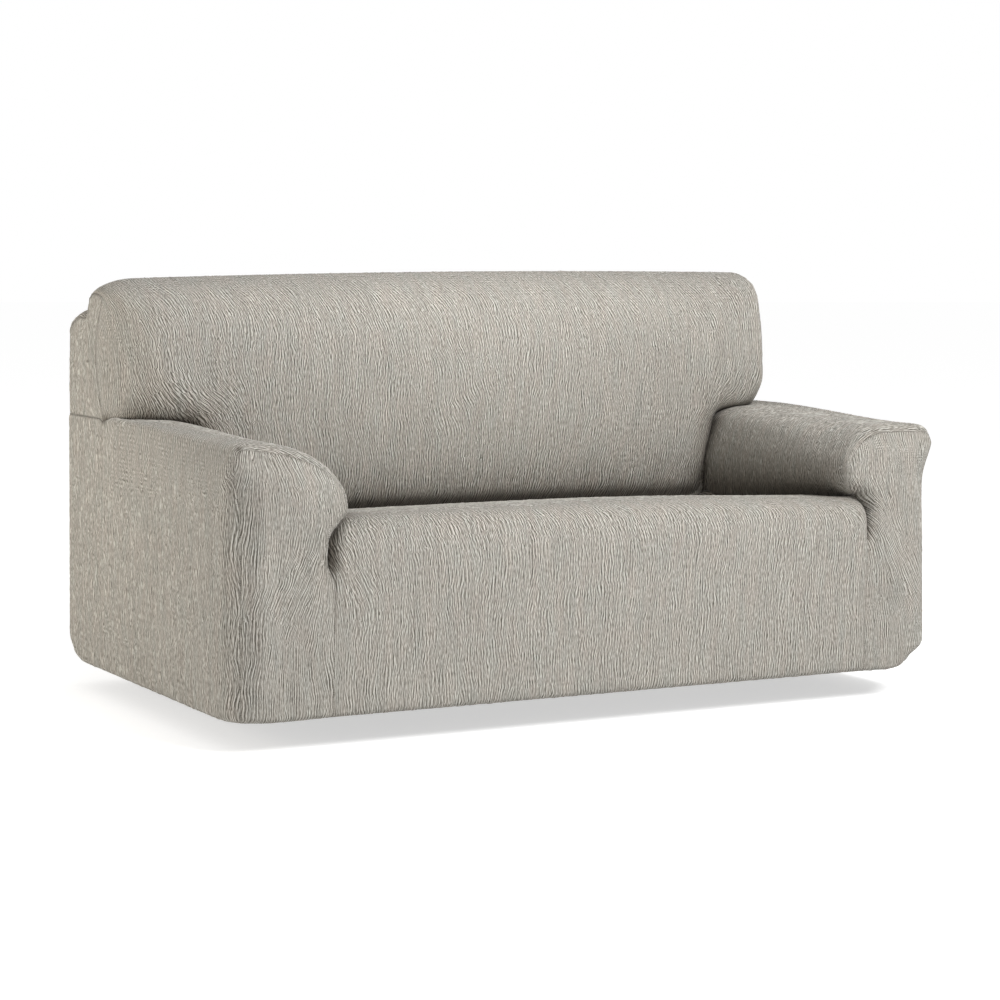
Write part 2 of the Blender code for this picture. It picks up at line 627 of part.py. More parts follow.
def vertex_normals(points, faces):
    """One outward direction for each point, from the faces round it."""
    corners = points[faces]
    across = np.cross(corners[:, 2] - corners[:, 0], corners[:, 3] - corners[:, 1])
    normals = np.zeros_like(points)
    for place in range(4):
        np.add.at(normals, faces[:, place], across)
    return normals / np.linalg.norm(normals, axis=1, keepdims=True)


def panel(points, keep=None, flip=False):
    """The points and four-sided faces of a panel. keep says which cells of the grid are cloth."""
    count_rows, count_cols = points.shape[:2]
    index = np.arange(count_rows * count_cols).reshape(count_rows, count_cols)
    faces = np.stack([index[:-1, :-1], index[:-1, 1:], index[1:, 1:], index[1:, :-1]], axis=-1)
    if keep is not None:
        faces = faces[keep]
    faces = faces.reshape(-1, 4)
    if flip:
        faces = faces[:, ::-1]
    used, faces = np.unique(faces, return_inverse=True)
    return points.reshape(-1, 3)[used], faces.reshape(-1, 4)


def rim_edges(faces):
    """The open edges of a panel, each as its face goes round it."""
    edges = np.concatenate([faces[:, [k, (k + 1) % 4]] for k in range(4)])
    ends = np.sort(edges, axis=1)
    _, index, count = np.unique(ends, axis=0, return_inverse=True, return_counts=True)
    return edges[count[index.reshape(-1)] == 1]


def seam_steps(points, faces, own, shared):
    """For each point on a rim, a step of about one length from the seam into the panel.

    Where two panels meet in a valley, the step also goes down into it, away from the other.
    """
    rim = rim_edges(faces)
    along = points[rim[:, 1]] - points[rim[:, 0]]
    inward = np.zeros_like(points)
    for place in (0, 1):
        way = np.cross(own[rim[:, place]], along)
        np.add.at(inward, rim[:, place], way / np.linalg.norm(way, axis=1, keepdims=True))
    length = np.linalg.norm(inward, axis=1, keepdims=True)
    inward = 2 * inward / np.maximum(length, MITRE_LIMIT) ** 2
    lean = own - shared * (own * shared).sum(axis=1, keepdims=True)
    in_valley = (lean * inward).sum(axis=1, keepdims=True) < 0
    return inward - np.where(in_valley, lean, 0)


def shared_normals(panels, own):
    """The panels' normals, made one where panels meet on a seam."""
    keys = {
        name: [tuple(key) for key in np.round(surface[0] / SAME_POINT + 0.123).astype(int)]
        for name, surface in panels.items()
    }
    total = {}
    for name in panels:
        for key, normal in zip(keys[name], own[name]):
            total[key] = total.get(key, 0) + normal
    shared = {}
    for name in panels:
        joined = np.array([total[key] for key in keys[name]])
        shared[name] = joined / np.linalg.norm(joined, axis=1, keepdims=True)
    return shared


def closed_shell(points, faces, own, shared):
    """The panel's outer face, its inner face a cloth's thickness below, and the rim between."""
    outer = points + 0.5 * SEAM_GAP * seam_steps(points, faces, own, shared)
    inner = outer - CLOTH_THICKNESS * shared
    under = faces[:, [0, 3, 2, 1]] + len(points)
    rim = rim_edges(faces)
    first, second = rim[:, 0], rim[:, 1]
    walls = np.stack([second, first, first + len(points), second + len(points)], axis=1)
    return np.concatenate([outer, inner]), np.concatenate([faces, under, walls])


def arm_panel(side):
    rows = np.arange(CREASE_ROW + 1)
    cols = np.arange(REAR_COL + 1)
    cell_row, cell_col = np.meshgrid(rows[:-1], cols[:-1], indexing="ij")
    keep = (cell_row < SPLIT_ROW) | (cell_col < BACK_COL)
    return panel(arm_surface(side, rows, cols), keep, flip=side < 0)


def back_panel():
    rows = np.arange(BACK_ROWS + 1)
    cols = np.arange(BACK_COLS + 1)
    cell_row, cell_col = np.meshgrid(rows[:-1], cols[:-1], indexing="ij")
    keep = (cell_row >= NOTCH_ROW) | (cell_col >= WING_COLS) & (cell_col < BACK_COLS - WING_COLS)
    return panel(back_surface(rows, cols), keep)


def all_panels():
    def upto(last):
        return np.arange(last + 1)

    fronts = [arm_front_surface(side, upto(SPLIT_ROW), upto(WING_COLS)) for side in (-1, 1)]
    sides = [gusset_surface(side, upto(GUSSET_ROWS), upto(GUSSET_COLS)) for side in (-1, 1)]
    panels = {
        "back_front": back_panel(),
        "back_rear": panel(rear_surface(upto(REAR_ROWS), upto(BACK_COLS)), flip=True),
        "back_side_left": panel(sides[0], flip=True),
        "back_side_right": panel(sides[1]),
        "seat_front": panel(seat_surface(upto(SEAT_ROWS), upto(SEAT_COLS))),
        "arm_left": arm_panel(-1),
        "arm_right": arm_panel(1),
        "arm_front_left": panel(fronts[0]),
        "arm_front_right": panel(fronts[1], flip=True),
    }
    return {name: (drawn_in(folded(points)), faces) for name, (points, faces) in panels.items()}


def cloth_material(name, colour):
    """The cover's stretch cloth, a matt woven crepe."""
    material = bpy.data.materials.new(name)
    material.use_nodes = True
    shader = material.node_tree.nodes["Principled BSDF"]
    shader.inputs["Base Color"].default_value = (*colour, 1.0)
    shader.inputs["Roughness"].default_value = CLOTH_ROUGHNESS
    shader.inputs["Metallic"].default_value = 0.0
    material.diffuse_color = (*colour, 1.0)
    return material


def main():
    for thing in list(bpy.data.objects):
        bpy.data.objects.remove(thing, do_unlink=True)
    collection = bpy.data.collections.new("sofa_slipcover")
    bpy.context.scene.collection.children.link(collection)
    holder = bpy.data.objects.new("held_under_backrest_top", None)
    holder.location = (0, -HOLD_Y, -HOLD_Z)
    collection.objects.link(holder)
    panels = all_panels()
    own = {name: vertex_normals(*surface) for name, surface in panels.items()}
    shared = shared_normals(panels, own)
    for name, (points, faces) in panels.items():
        shell_points, shell_faces = closed_shell(points, faces, own[name], shared[name])
        mesh = bpy.data.meshes.new(name)
        mesh.from_pydata(shell_points.tolist(), [], shell_faces.tolist())
        mesh.shade_smooth()
        mesh.set_sharp_from_angle(angle=np.radians(SHARP_ANGLE))
        mesh.materials.append(cloth_material(name, CLOTH_COLOUR))
        thing = bpy.data.objects.new(name, mesh)
        thing.parent = holder
        collection.objects.link(thing)


if __name__ == "__main__":
    main()
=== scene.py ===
# %% [markdown]
# # A fitted stretch cover for a sofa
#
# The object is a slipcover: nine panels of crinkled stretch cloth, sewn to the shape of a small
# sofa with rolled arms. The sofa itself is left out, so the cover is hollow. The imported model
# holds the panels as plain sheets with the main folds. This script dresses each one: the same
# surface, sampled much finer, with the crepe's crinkles, its grooved seams and its stitches.

import bpy
import numpy as np
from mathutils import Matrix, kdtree


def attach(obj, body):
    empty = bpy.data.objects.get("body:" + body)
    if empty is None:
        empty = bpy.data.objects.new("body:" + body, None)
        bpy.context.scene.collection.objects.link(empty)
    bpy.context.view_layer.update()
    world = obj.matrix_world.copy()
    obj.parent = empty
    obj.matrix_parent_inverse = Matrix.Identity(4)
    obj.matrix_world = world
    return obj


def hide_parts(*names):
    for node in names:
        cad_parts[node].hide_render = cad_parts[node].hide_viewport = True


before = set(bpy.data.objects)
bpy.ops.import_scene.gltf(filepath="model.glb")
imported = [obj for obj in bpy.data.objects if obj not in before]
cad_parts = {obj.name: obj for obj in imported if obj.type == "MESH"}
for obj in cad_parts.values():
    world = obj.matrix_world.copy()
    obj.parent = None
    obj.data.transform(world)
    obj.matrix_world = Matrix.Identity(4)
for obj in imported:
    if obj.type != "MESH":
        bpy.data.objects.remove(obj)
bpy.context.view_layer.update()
print("nodes:", ", ".join(sorted(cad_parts)))

# %% [markdown]
# ## The camera
#
# A sofa is best seen from about sitting height with a long lens, from one front corner. The
# camera stays level, so that upright edges stay upright, and a shift of the lens moves the sofa
# down into the frame. That is simpler and truer than tilting the camera. Places in this script
# count from the sofa's front and the floor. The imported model's origin is where the sofa holds
# the cover, under the middle of the backrest's top, so every finished place is less by that.

# %% Place the camera
HOLD_Y = 0.745
BACK_TOP = 0.9035
CLOTH_THICKNESS = 0.002
HOLD_Z = BACK_TOP - CLOTH_THICKNESS
HOLD_PLACE = np.array([0, HOLD_Y, HOLD_Z])
CAMERA_PLACE = (-2.5851, -4.5131, 0.9252)
CAMERA_TURN = -27.4

lens = bpy.data.cameras.new("camera")
lens.sensor_width = 36
lens.lens = 93.6
lens.shift_y = -0.238
lens.clip_end = 60
camera = bpy.data.objects.new("camera", lens)
camera.location = np.array(CAMERA_PLACE) - HOLD_PLACE
camera.rotation_euler = (np.pi / 2, 0, np.radians(CAMERA_TURN))
bpy.context.scene.collection.objects.link(camera)
bpy.context.scene.camera = camera
print("camera at", [round(value, 3) for value in camera.location])

# %% [markdown]
# ## The shape of the cover
#
# A stretch cover takes its shape from the sofa in it. Each panel is therefore a surface given
# by a few cross-sections: numbered rows run up from the hem, numbered columns run across, and
# short tables say where a row lies. Smooth curves join the table's rows, so the same tables
# give a coarse sheet or a fine one. X is to the right, Y goes back from the sofa's front and Z
# is the height above the floor.

# %% Sizes of the sofa and rows of the panels
HALF_WIDTH = 0.803
DEPTH = 1.008
HEM_HEIGHT = 0.060
ARM_SEAM_HEIGHT = 0.594
GUSSET_START = 0.74
CORNER_RADIUS = 0.070
REAR_CORNER_RADIUS = 0.050

# Rows and columns of the panels' surfaces
SPLIT_ROW = 16
SHOULDER_ROW = 24
CREASE_ROW = 29
EDGE_COLS = 2
BACK_COL = 14
REAR_COL = 22
SEAT_COLS = 24
SEAT_FRONT_ROWS = 11
SEAT_ROWS = SEAT_FRONT_ROWS + BACK_COL
WING_COLS = SHOULDER_ROW - SPLIT_ROW
BACK_COLS = SEAT_COLS + 2 * WING_COLS
NOTCH_ROW = CREASE_ROW - SHOULDER_ROW
DART_ROW = 15
BACK_ROWS = 23
GUSSET_ROWS = DART_ROW - NOTCH_ROW
GUSSET_COLS = BACK_ROWS - DART_ROW
REAR_ROWS = SPLIT_ROW + GUSSET_ROWS
print("sofa, metres:", 2 * HALF_WIDTH, "wide,", DEPTH, "deep,", BACK_TOP, "high")


# %% The hem
def table(names, *rows):
    """A table as columns: the values of its rows under each name."""
    return dict(zip(names.split(), np.array(rows, float).T))


# The hem, turned in under the sofa: how far in from the wall, and how far above the hem's height
HEM_CURL = (
    (0, 0.045, 0.001),
    (1, 0.030, -0.003),
    (2, 0.005, 0.003),
    (3, 0.001, 0.021),
    (4, 0.000, 0.065),
)
HEM = table("row inset up", *HEM_CURL)
HEM_ROWS = 4
print("the hem turns in by", HEM["inset"].max(), "m over", HEM_ROWS, "rows")

# %% The arms
W, H = HALF_WIDTH, HEM_HEIGHT

# Across an arm, from the edge of the hem under the sofa, up the outer wall, over the roll and
# down to the seat. x is the distance from the sofa's middle. "front" is just behind the front
# edge and "back" is at the backrest. The front edge is rounded to "round", starts "set_in"
# behind the front, and the seam lies "turn" degrees round it.
ARM_COLUMNS = "row x_front z_front x_back z_back round turn set_in"
WALL_ROWS = 9
HEM_PATH = tuple(
    (row, W - inset, H + up, W - inset, H + up, CORNER_RADIUS - inset, 45, inset)
    for row, inset, up in HEM_CURL
) + (
    (5, W + 0.000, 0.1750, W + 0.000, 0.1750, 0.070, 45, 0.000),
    (9, W + 0.000, 0.3500, W + 0.000, 0.3500, 0.070, 45, 0.000),
)
LEFT_ARM = table(
    ARM_COLUMNS,
    *HEM_PATH,
    (12, W + 0.001, 0.4600, W + 0.000, 0.4550, 0.068, 45, 0.000),
    (14, W + 0.009, 0.5200, W + 0.001, 0.5250, 0.052, 43, 0.000),
    (15, W + 0.004, 0.5500, W + 0.001, 0.5620, 0.036, 42, 0.000),
    (16, W - 0.010, 0.5800, W + 0.000, ARM_SEAM_HEIGHT, 0.028, 42, 0.002),
    (18, 0.7480, 0.5860, 0.7770, 0.5955, 0.040, 38, 0.000),
    (20, 0.7020, 0.5800, 0.7330, 0.5955, 0.044, 38, 0.000),
    (22, 0.6490, 0.5640, 0.6880, 0.5920, 0.042, 38, 0.000),
    (24, 0.6060, 0.5380, 0.6450, 0.5740, 0.036, 40, 0.000),
    (26, 0.5720, 0.4960, 0.6200, 0.5170, 0.028, 44, 0.000),
    (27, 0.5610, 0.4630, 0.6110, 0.4680, 0.024, 48, 0.006),
    (28, 0.5620, 0.4420, 0.6090, 0.4280, 0.018, 50, 0.016),
    (29, 0.5655, 0.4280, 0.6120, 0.3950, 0.022, 45, 0.027),
)
RIGHT_ARM = table(
    ARM_COLUMNS,
    *HEM_PATH,
    (12, W + 0.000, 0.4600, W + 0.000, 0.4550, 0.070, 45, 0.000),
    (14, W + 0.017, 0.5130, W + 0.001, 0.5250, 0.070, 45, 0.000),
    (15, W + 0.014, 0.5420, W + 0.001, 0.5620, 0.052, 43, 0.000),
    (16, W - 0.007, 0.5710, W + 0.000, ARM_SEAM_HEIGHT, 0.040, 42, 0.002),
    (18, 0.7560, 0.5780, 0.7770, 0.5900, 0.044, 42, 0.000),
    (20, 0.7080, 0.5785, 0.7330, 0.5890, 0.044, 42, 0.000),
    (22, 0.6600, 0.5750, 0.6880, 0.5860, 0.042, 42, 0.000),
    (24, 0.6160, 0.5560, 0.6450, 0.5700, 0.038, 42, 0.000),
    (26, 0.5860, 0.5160, 0.6200, 0.5170, 0.028, 42, 0.000),
    (27, 0.5800, 0.4850, 0.6110, 0.4680, 0.024, 44, 0.002),
    (28, 0.5880, 0.4520, 0.6120, 0.4280, 0.018, 45, 0.012),
    (29, 0.6155, 0.4270, 0.6160, 0.3950, 0.024, 45, 0.031),
)

# Where each row of an arm meets the backrest
ARM_END = table(
    "row y",
    (0, GUSSET_START),
    (SPLIT_ROW, GUSSET_START),
    (17, 0.712),
    (18, 0.690),
    (20, 0.660),
    (22, 0.640),
    (24, 0.628),
    (27, 0.620),
    (29, 0.632),
)
print("rows given for an arm:", len(LEFT_ARM["row"]), "of", CREASE_ROW + 1)

# %% The seat and the backrest
# The seam between a seat side and an arm front, from the hem to the seat's crease
SEAT_HEM_LIFT = 0.003
SEAT_SEAM = table(
    "row x_left x_right y z",
    *((row, 0.600, 0.619, inset, H + up + SEAT_HEM_LIFT) for row, inset, up in HEM_CURL),
    (5, 0.599, 0.621, 0.000, 0.1850),
    (7, 0.597, 0.630, 0.003, 0.3080),
    (8, 0.600, 0.634, 0.011, 0.3480),
    (9, 0.599, 0.637, 0.020, 0.3800),
    (10, 0.589, 0.636, 0.028, 0.4060),
)

# Through the middle of the seat panel, from the edge of the hem to the crease at the backrest
SEAT_PROFILE = table(
    "row y z",
    *((row, inset, H + up + SEAT_HEM_LIFT) for row, inset, up in HEM_CURL),
    (5, -0.001, 0.1850),
    (7, -0.004, 0.3080),
    (8, -0.005, 0.3580),
    (9, 0.000, 0.3980),
    (10, 0.014, 0.4230),
    (11, 0.038, 0.4355),
    (12, 0.056, 0.4385),
    (13, 0.080, 0.4392),
    (15, 0.170, 0.4352),
    (20, 0.430, 0.4115),
    (23, 0.590, 0.3950),
    (SEAT_ROWS, 0.655, 0.3850),
)

# Through the middle of the backrest, from the seat's crease over the top to the rear seam
BACK_PROFILE = table(
    "row y z",
    (0, 0.655, 0.3850),
    (1, 0.630, 0.4120),
    (2, 0.614, 0.4520),
    (3, 0.604, 0.5000),
    (5, 0.597, 0.5900),
    (8, 0.595, 0.6830),
    (11, 0.601, 0.7700),
    (13, 0.618, 0.8280),
    (14, 0.635, 0.8550),
    (15, 0.663, 0.8800),
    (16, 0.702, 0.8975),
    (17, HOLD_Y, BACK_TOP),
    (18, 0.798, 0.8960),
    (19, 0.844, 0.8740),
    (20, 0.884, 0.8480),
    (21, 0.922, 0.8330),
    (22, 0.962, 0.8200),
    (23, 0.9934, 0.8000),
)
print("top of the seat at", SEAT_PROFILE["z"].max(), "m, of the back at", BACK_PROFILE["z"].max())

# %% The side gussets
# The seam round a side gusset: up the cushion's side, over it, down its step and along the
# lower frame behind it
GUSSET_FRONT_SEAM = table(
    "row y z",
    (5, GUSSET_START, ARM_SEAM_HEIGHT),
    (6, 0.758, 0.6220),
    (8, 0.786, 0.6800),
    (10, 0.797, 0.7350),
    (12, 0.786, 0.7830),
    (14, 0.763, 0.8290),
    (15, 0.750, 0.8510),
)
GUSSET_TOP_SEAM = table(
    "row y z",
    (15, 0.750, 0.8510),
    (16, 0.786, 0.8580),
    (17, 0.822, 0.8555),
    (18, 0.838, 0.8400),
    (19, 0.849, 0.8215),
    (20, 0.880, 0.8120),
    (21, 0.918, 0.8030),
    (22, 0.956, 0.7870),
    (23, 0.9934, 0.7500),
)
print("top of a gusset at", GUSSET_TOP_SEAM["z"].max(), "m")

# %% [markdown]
# ## Folds and tucks
#
# No cover lies quite smooth. The main folds are soft ridges and troughs along short lines, each
# with a reach. The hem is drawn in at its corners, over the feet.

# %% Tables of folds and tucks
# Main folds: x, y and z of a line's two ends, the distance either side at which the fold has
# sunk to a third, and how far its middle is moved in x, y and z
FOLDS = (
    (-0.795, 0.020, 0.120, -0.790, 0.020, 0.450, 0.018, 0.0020, 0.0015, 0.0),
    (-0.745, 0.000, 0.120, -0.742, 0.000, 0.500, 0.018, 0.0, -0.0025, 0.0),
    (-0.700, 0.000, 0.100, -0.705, 0.000, 0.400, 0.020, 0.0, 0.0020, 0.0),
    (-0.650, 0.000, 0.180, -0.630, 0.000, 0.440, 0.020, 0.0, -0.0030, 0.0),
    (-0.450, 0.000, 0.380, -0.430, 0.000, 0.120, 0.030, 0.0, 0.0025, 0.0),
    (-0.200, 0.000, 0.360, -0.230, 0.000, 0.100, 0.035, 0.0, -0.0020, 0.0),
    (0.225, 0.000, 0.300, 0.190, 0.000, 0.090, 0.028, 0.0, 0.0030, 0.0),
    (0.420, 0.000, 0.340, 0.410, 0.000, 0.120, 0.032, 0.0, -0.0020, 0.0),
    (0.645, 0.000, 0.400, 0.700, 0.000, 0.240, 0.020, 0.0, -0.0030, 0.0),
    (0.680, 0.000, 0.420, 0.745, 0.000, 0.280, 0.020, 0.0, 0.0020, 0.0),
    (0.790, 0.010, 0.465, 0.710, 0.000, 0.475, 0.014, 0.0, 0.0030, 0.0),
    (-0.650, 0.610, 0.620, -0.735, 0.600, 0.720, 0.022, 0.0, -0.0040, 0.0),
    (-0.610, 0.605, 0.630, -0.650, 0.600, 0.770, 0.020, 0.0, 0.0030, 0.0),
    (0.655, 0.610, 0.620, 0.720, 0.600, 0.710, 0.020, 0.0, -0.0030, 0.0),
    (-0.310, 0.605, 0.450, -0.300, 0.598, 0.600, 0.035, 0.0, -0.0030, 0.0),
    (0.030, 0.605, 0.450, 0.020, 0.598, 0.580, 0.035, 0.0, 0.0025, 0.0),
    (0.360, 0.605, 0.450, 0.340, 0.598, 0.620, 0.035, 0.0, -0.0030, 0.0),
    (-0.803, 0.160, 0.480, -0.803, 0.140, 0.150, 0.040, -0.0025, 0.0, 0.0),
    (-0.803, 0.400, 0.500, -0.803, 0.430, 0.130, 0.045, 0.0025, 0.0, 0.0),
    (-0.803, 0.650, 0.560, -0.803, 0.620, 0.160, 0.045, -0.0025, 0.0, 0.0),
    (0.803, 0.300, 0.480, 0.803, 0.330, 0.140, 0.045, 0.0020, 0.0, 0.0),
)

# Tucks at the hem's corners: the corner's side and depth, and how far the cloth is drawn in
# towards the middle, to the rear and up
TUCK_REACH = 0.125
TUCK_TOP = 0.115
TUCKS = (
    (1, 0.0, 0.042, 0.012, 0.010),
    (-1, 0.0, 0.004, 0.004, 0.003),
    (-1, DEPTH, 0.008, -0.014, 0.010),
    (1, DEPTH, 0.008, -0.014, 0.010),
)
print(len(FOLDS), "folds,", len(TUCKS), "tucks")

# %% [markdown]
# ## Reading the tables
#
# A table is read at any row, also between two of its own, so the same code makes coarse and
# fine sheets. A cubic through the rows gives a smooth curve without a modifier.

# %% Smooth curves through a table
def through(knots, values, at):
    """A smooth curve through the values at the knots, read at any places."""
    at = np.asarray(at, float)
    slopes = np.empty_like(values)
    slopes[1:-1] = (values[2:] - values[:-2]) / (knots[2:] - knots[:-2])
    slopes[0] = (values[1] - values[0]) / (knots[1] - knots[0])
    slopes[-1] = (values[-1] - values[-2]) / (knots[-1] - knots[-2])
    start = np.clip(np.searchsorted(knots, at, side="right") - 1, 0, len(knots) - 2)
    span = knots[start + 1] - knots[start]
    t = (at - knots[start]) / span
    rise = values[start + 1] - values[start]
    a = slopes[start] * span - rise
    b = rise - slopes[start + 1] * span
    return values[start] + t * rise + t * (1 - t) * (a * (1 - t) + b * t)


def read(columns, name, at):
    """One column of a table, read at any rows."""
    return through(columns["row"], columns[name], at)


def ease(t):
    """From 0 to 1 with level ends."""
    t = np.clip(t, 0, 1)
    return t * t * (3 - 2 * t)


def rise(at, start, run):
    """From 0 at a place to 1 a run further on, with level ends."""
    return ease((at - start) / run)


def curl(t):
    """From 1 at a seam to 0 further in, along a quarter round."""
    t = np.clip(t, 0, 1)
    return 1 - np.sqrt(1 - (1 - t) ** 2)


def grid(rows, cols):
    """The row and the column of every point of a panel."""
    return np.meshgrid(np.asarray(rows, float), np.asarray(cols, float), indexing="ij")


print("inset of the hem at rows 1, 1.5 and 2, m:", read(HEM, "inset", [1, 1.5, 2]).round(4))


# %% [markdown]
# ## The arm panels
#
# An arm panel is one piece of cloth from the hem up the outer wall, over the roll and down to
# the seat. Its cross-section changes from the front to the backrest, and its front edge turns
# round a corner to meet the arm's front panel.

# %% Arm panels
ARM_CHANGE_START, ARM_CHANGE_RUN = 0.05, 0.58
ROW_STEP = 0.02


def arm_section(arm, rows, y):
    """Across an arm at depth y: distance from the middle, and height."""
    share = rise(y, ARM_CHANGE_START, ARM_CHANGE_RUN)
    return [
        read(arm, name + "_front", rows) * (1 - share) + read(arm, name + "_back", rows) * share
        for name in ("x", "z")
    ]


def arm_surface(side, rows, cols):
    """Points of an arm panel. side is -1 for the left arm and 1 for the right."""
    arm = LEFT_ARM if side < 0 else RIGHT_ARM
    row, col = grid(rows, cols)
    radius = read(arm, "round", row)
    set_in = read(arm, "set_in", row)
    turn = np.radians(read(arm, "turn", row))
    end = read(ARM_END, "y", row)
    front = set_in + radius

    angle = turn + (np.pi / 2 - turn) * np.clip(col / EDGE_COLS, 0, 1)
    inset = radius * (1 - np.sin(angle))
    along = np.clip((col - EDGE_COLS) / (BACK_COL - EDGE_COLS), 0, 1)
    edge_y = set_in + radius * (1 - np.cos(angle))
    y = np.where(col < EDGE_COLS, edge_y, front + (end - front) * along)

    rear_cols = REAR_COL - BACK_COL - EDGE_COLS
    behind = np.clip((col - BACK_COL) / rear_cols, 0, 1)
    y = y + (DEPTH - REAR_CORNER_RADIUS - GUSSET_START) * behind
    x, z = arm_section(arm, row, y)

    # The rounded front edge is set in square to the cloth, which the rows above and below give.
    x_up, z_up = arm_section(arm, row + ROW_STEP, y)
    x_down, z_down = arm_section(arm, row - ROW_STEP, y)
    out_x, out_z = z_up - z_down, x_down - x_up
    length = np.hypot(out_x, out_z)
    on_wall = row < WALL_ROWS
    out_x = np.where(on_wall, 1.0, out_x / length)
    out_z = np.where(on_wall, 0.0, out_z / length)
    x = x - inset * out_x
    z = z - inset * out_z

    rear_angle = np.pi / 4 * np.clip((col - BACK_COL - rear_cols) / EDGE_COLS, 0, 1)
    rear_radius = REAR_CORNER_RADIUS - (HALF_WIDTH - x)
    turned = col > REAR_COL - EDGE_COLS
    x = np.where(turned, x - rear_radius * (1 - np.cos(rear_angle)), x)
    y = np.where(turned, y + rear_radius * np.sin(rear_angle), y)
    return np.stack([side * x, y, z], axis=-1)


SIDES = (-1, 1)
arm_rows = np.arange(CREASE_ROW + 1)
tops = [arm_surface(side, arm_rows, [EDGE_COLS])[..., 2].max() for side in SIDES]
print("height of the arms in front, m:", np.round(tops, 3))

# %% Arm fronts
DEEP_SEAM = 0.04
SEAM_CROWDING, CROWD_START, CROWD_RUN = 0.9, 2 / 3, 1 / 3
TOP_BEND_START, TOP_BEND_RUN = 7 / 8, 1 / 8
TOP_BEND_POWER = 3
PUFF_RISE_ROWS, PUFF_FALL_ROWS = 4, 2
ARM_FRONT_PUFF = 0.007


def seat_seam(side, rows):
    """The seam between the seat panel and an arm's front, up to where the arm's roll begins."""
    meet = arm_surface(side, [CREASE_ROW], [0])[0, 0]
    name = "x_left" if side < 0 else "x_right"
    knots = np.append(SEAT_SEAM["row"], SEAT_FRONT_ROWS)
    x = np.append(SEAT_SEAM[name], abs(meet[0]))
    y = np.append(SEAT_SEAM["y"], meet[1])
    z = np.append(SEAT_SEAM["z"], meet[2])
    x, y, z = (through(knots, values, rows) for values in (side * x, y, z))
    return np.stack([x, y, z], axis=-1)


def curl_in(col):
    """The share of a front edge's depth that is left this many columns in from it."""
    return np.clip(1 - col / EDGE_COLS, 0, 1) ** 2


def arm_front_inner_edge(side, rows):
    """The front panel's inner edge: up the seat's seam, then round the inside of the roll."""
    rows = np.asarray(rows, float)
    low = seat_seam(side, np.clip(rows, 0, SEAT_FRONT_ROWS))
    high = arm_surface(side, CREASE_ROW - np.clip(rows - SEAT_FRONT_ROWS, 0, NOTCH_ROW), [0])[:, 0]
    return np.where((rows <= SEAT_FRONT_ROWS)[:, None], low, high)


def arm_front_surface(side, rows, cols):
    """Points of an arm's front panel: rows go up from the hem, columns from outside to inside."""
    row, col = grid(rows, cols)
    outer = arm_surface(side, rows, [0])[:, 0]
    top = arm_surface(side, SPLIT_ROW + np.asarray(cols, float), [0])[:, 0]
    inner = arm_front_inner_edge(side, rows)
    bottom_outer = arm_surface(side, [0], [0])[0, 0]
    bottom_inner = arm_front_inner_edge(side, [0])[0]
    top_outer = arm_surface(side, [SPLIT_ROW], [0])[0, 0]
    top_inner = arm_surface(side, [SHOULDER_ROW], [0])[0, 0]

    across = (col / WING_COLS)[..., None]
    up = (row / SPLIT_ROW)[..., None]
    along_hem = (np.asarray(cols, float) / WING_COLS)[:, None]
    bottom = bottom_outer + (bottom_inner - bottom_outer) * along_hem
    # Where the inner seam lies deep, the last columns reach it before they turn back.
    deep = ease(inner[:, None, 1:2] / DEEP_SEAM)
    crowding = SEAM_CROWDING * rise(across, CROWD_START, CROWD_RUN)
    across = across + deep * (1 - across) * crowding
    points = outer[:, None] * (1 - across) + inner[:, None] * across
    # The rows keep their own heights up the wall, and bend into the roll's top near the end.
    ends = top_outer * (1 - across) + top_inner * across
    low_ends = bottom_outer * (1 - across) + bottom_inner * across
    points = points + (top[None] - ends) * up**TOP_BEND_POWER
    points = points + (bottom[None] - low_ends) * (1 - up)

    y = outer[:, None, 1] * curl_in(col) + inner[:, None, 1] * curl_in(WING_COLS - col)
    between = 1 - curl_in(col) - curl_in(WING_COLS - col)
    y = y + read(HEM, "inset", np.clip(row, 0, HEM_ROWS)) * between
    inside = ease(np.minimum(col, WING_COLS - col))
    y = y + (top[None, :, 1] - y) * rise(up[..., 0], TOP_BEND_START, TOP_BEND_RUN) * inside
    puffed = rise(row, WALL_ROWS, PUFF_RISE_ROWS)
    puffed = puffed * (1 - rise(row, SPLIT_ROW - PUFF_FALL_ROWS, PUFF_FALL_ROWS))
    points[..., 1] = y - ARM_FRONT_PUFF * np.sin(np.pi * col / WING_COLS) * puffed
    return points


ends = [arm_front_surface(side, [WALL_ROWS], [0, WING_COLS])[0, :, 0] for side in SIDES]
print("width of the arms' fronts half-way up, m:", np.ptp(ends, axis=1).round(3))

# %% [markdown]
# ## The seat and the backrest
#
# The seat panel rises from the hem, rounds the seat's front edge and runs back to the crease.
# The backrest panel goes on from there, spreads over both arms and turns over the top. Both sink
# into their seams along a quarter round, as cloth over a soft cushion does.

# %% Seat
# SEAT_REACH is how far from a seam the seat starts to curl towards it.
EVEN_SHARE = 0.35
SEAT_REACH = 0.045
SEAT_FALL, SEAT_CROWN = 0.010, 0.004
SEAT_FALL_START, SEAT_FALL_RUN = 0.15, 0.45
SEAT_EDGE_ROW, SEAT_CROWN_ROW, SEAT_EDGE_ROWS = 7, 10, 4
SEAT_HALF_WIDTH = 0.6


def seat_side(side, rows):
    """One side of the seat panel: up the seat's seam, then back along the crease at the arm."""
    rows = np.asarray(rows, float)
    front = seat_seam(side, np.clip(rows, 0, SEAT_FRONT_ROWS))
    top = arm_surface(side, [CREASE_ROW], np.clip(rows - SEAT_FRONT_ROWS, 0, BACK_COL))[0]
    return np.where((rows <= SEAT_FRONT_ROWS)[:, None], front, top)


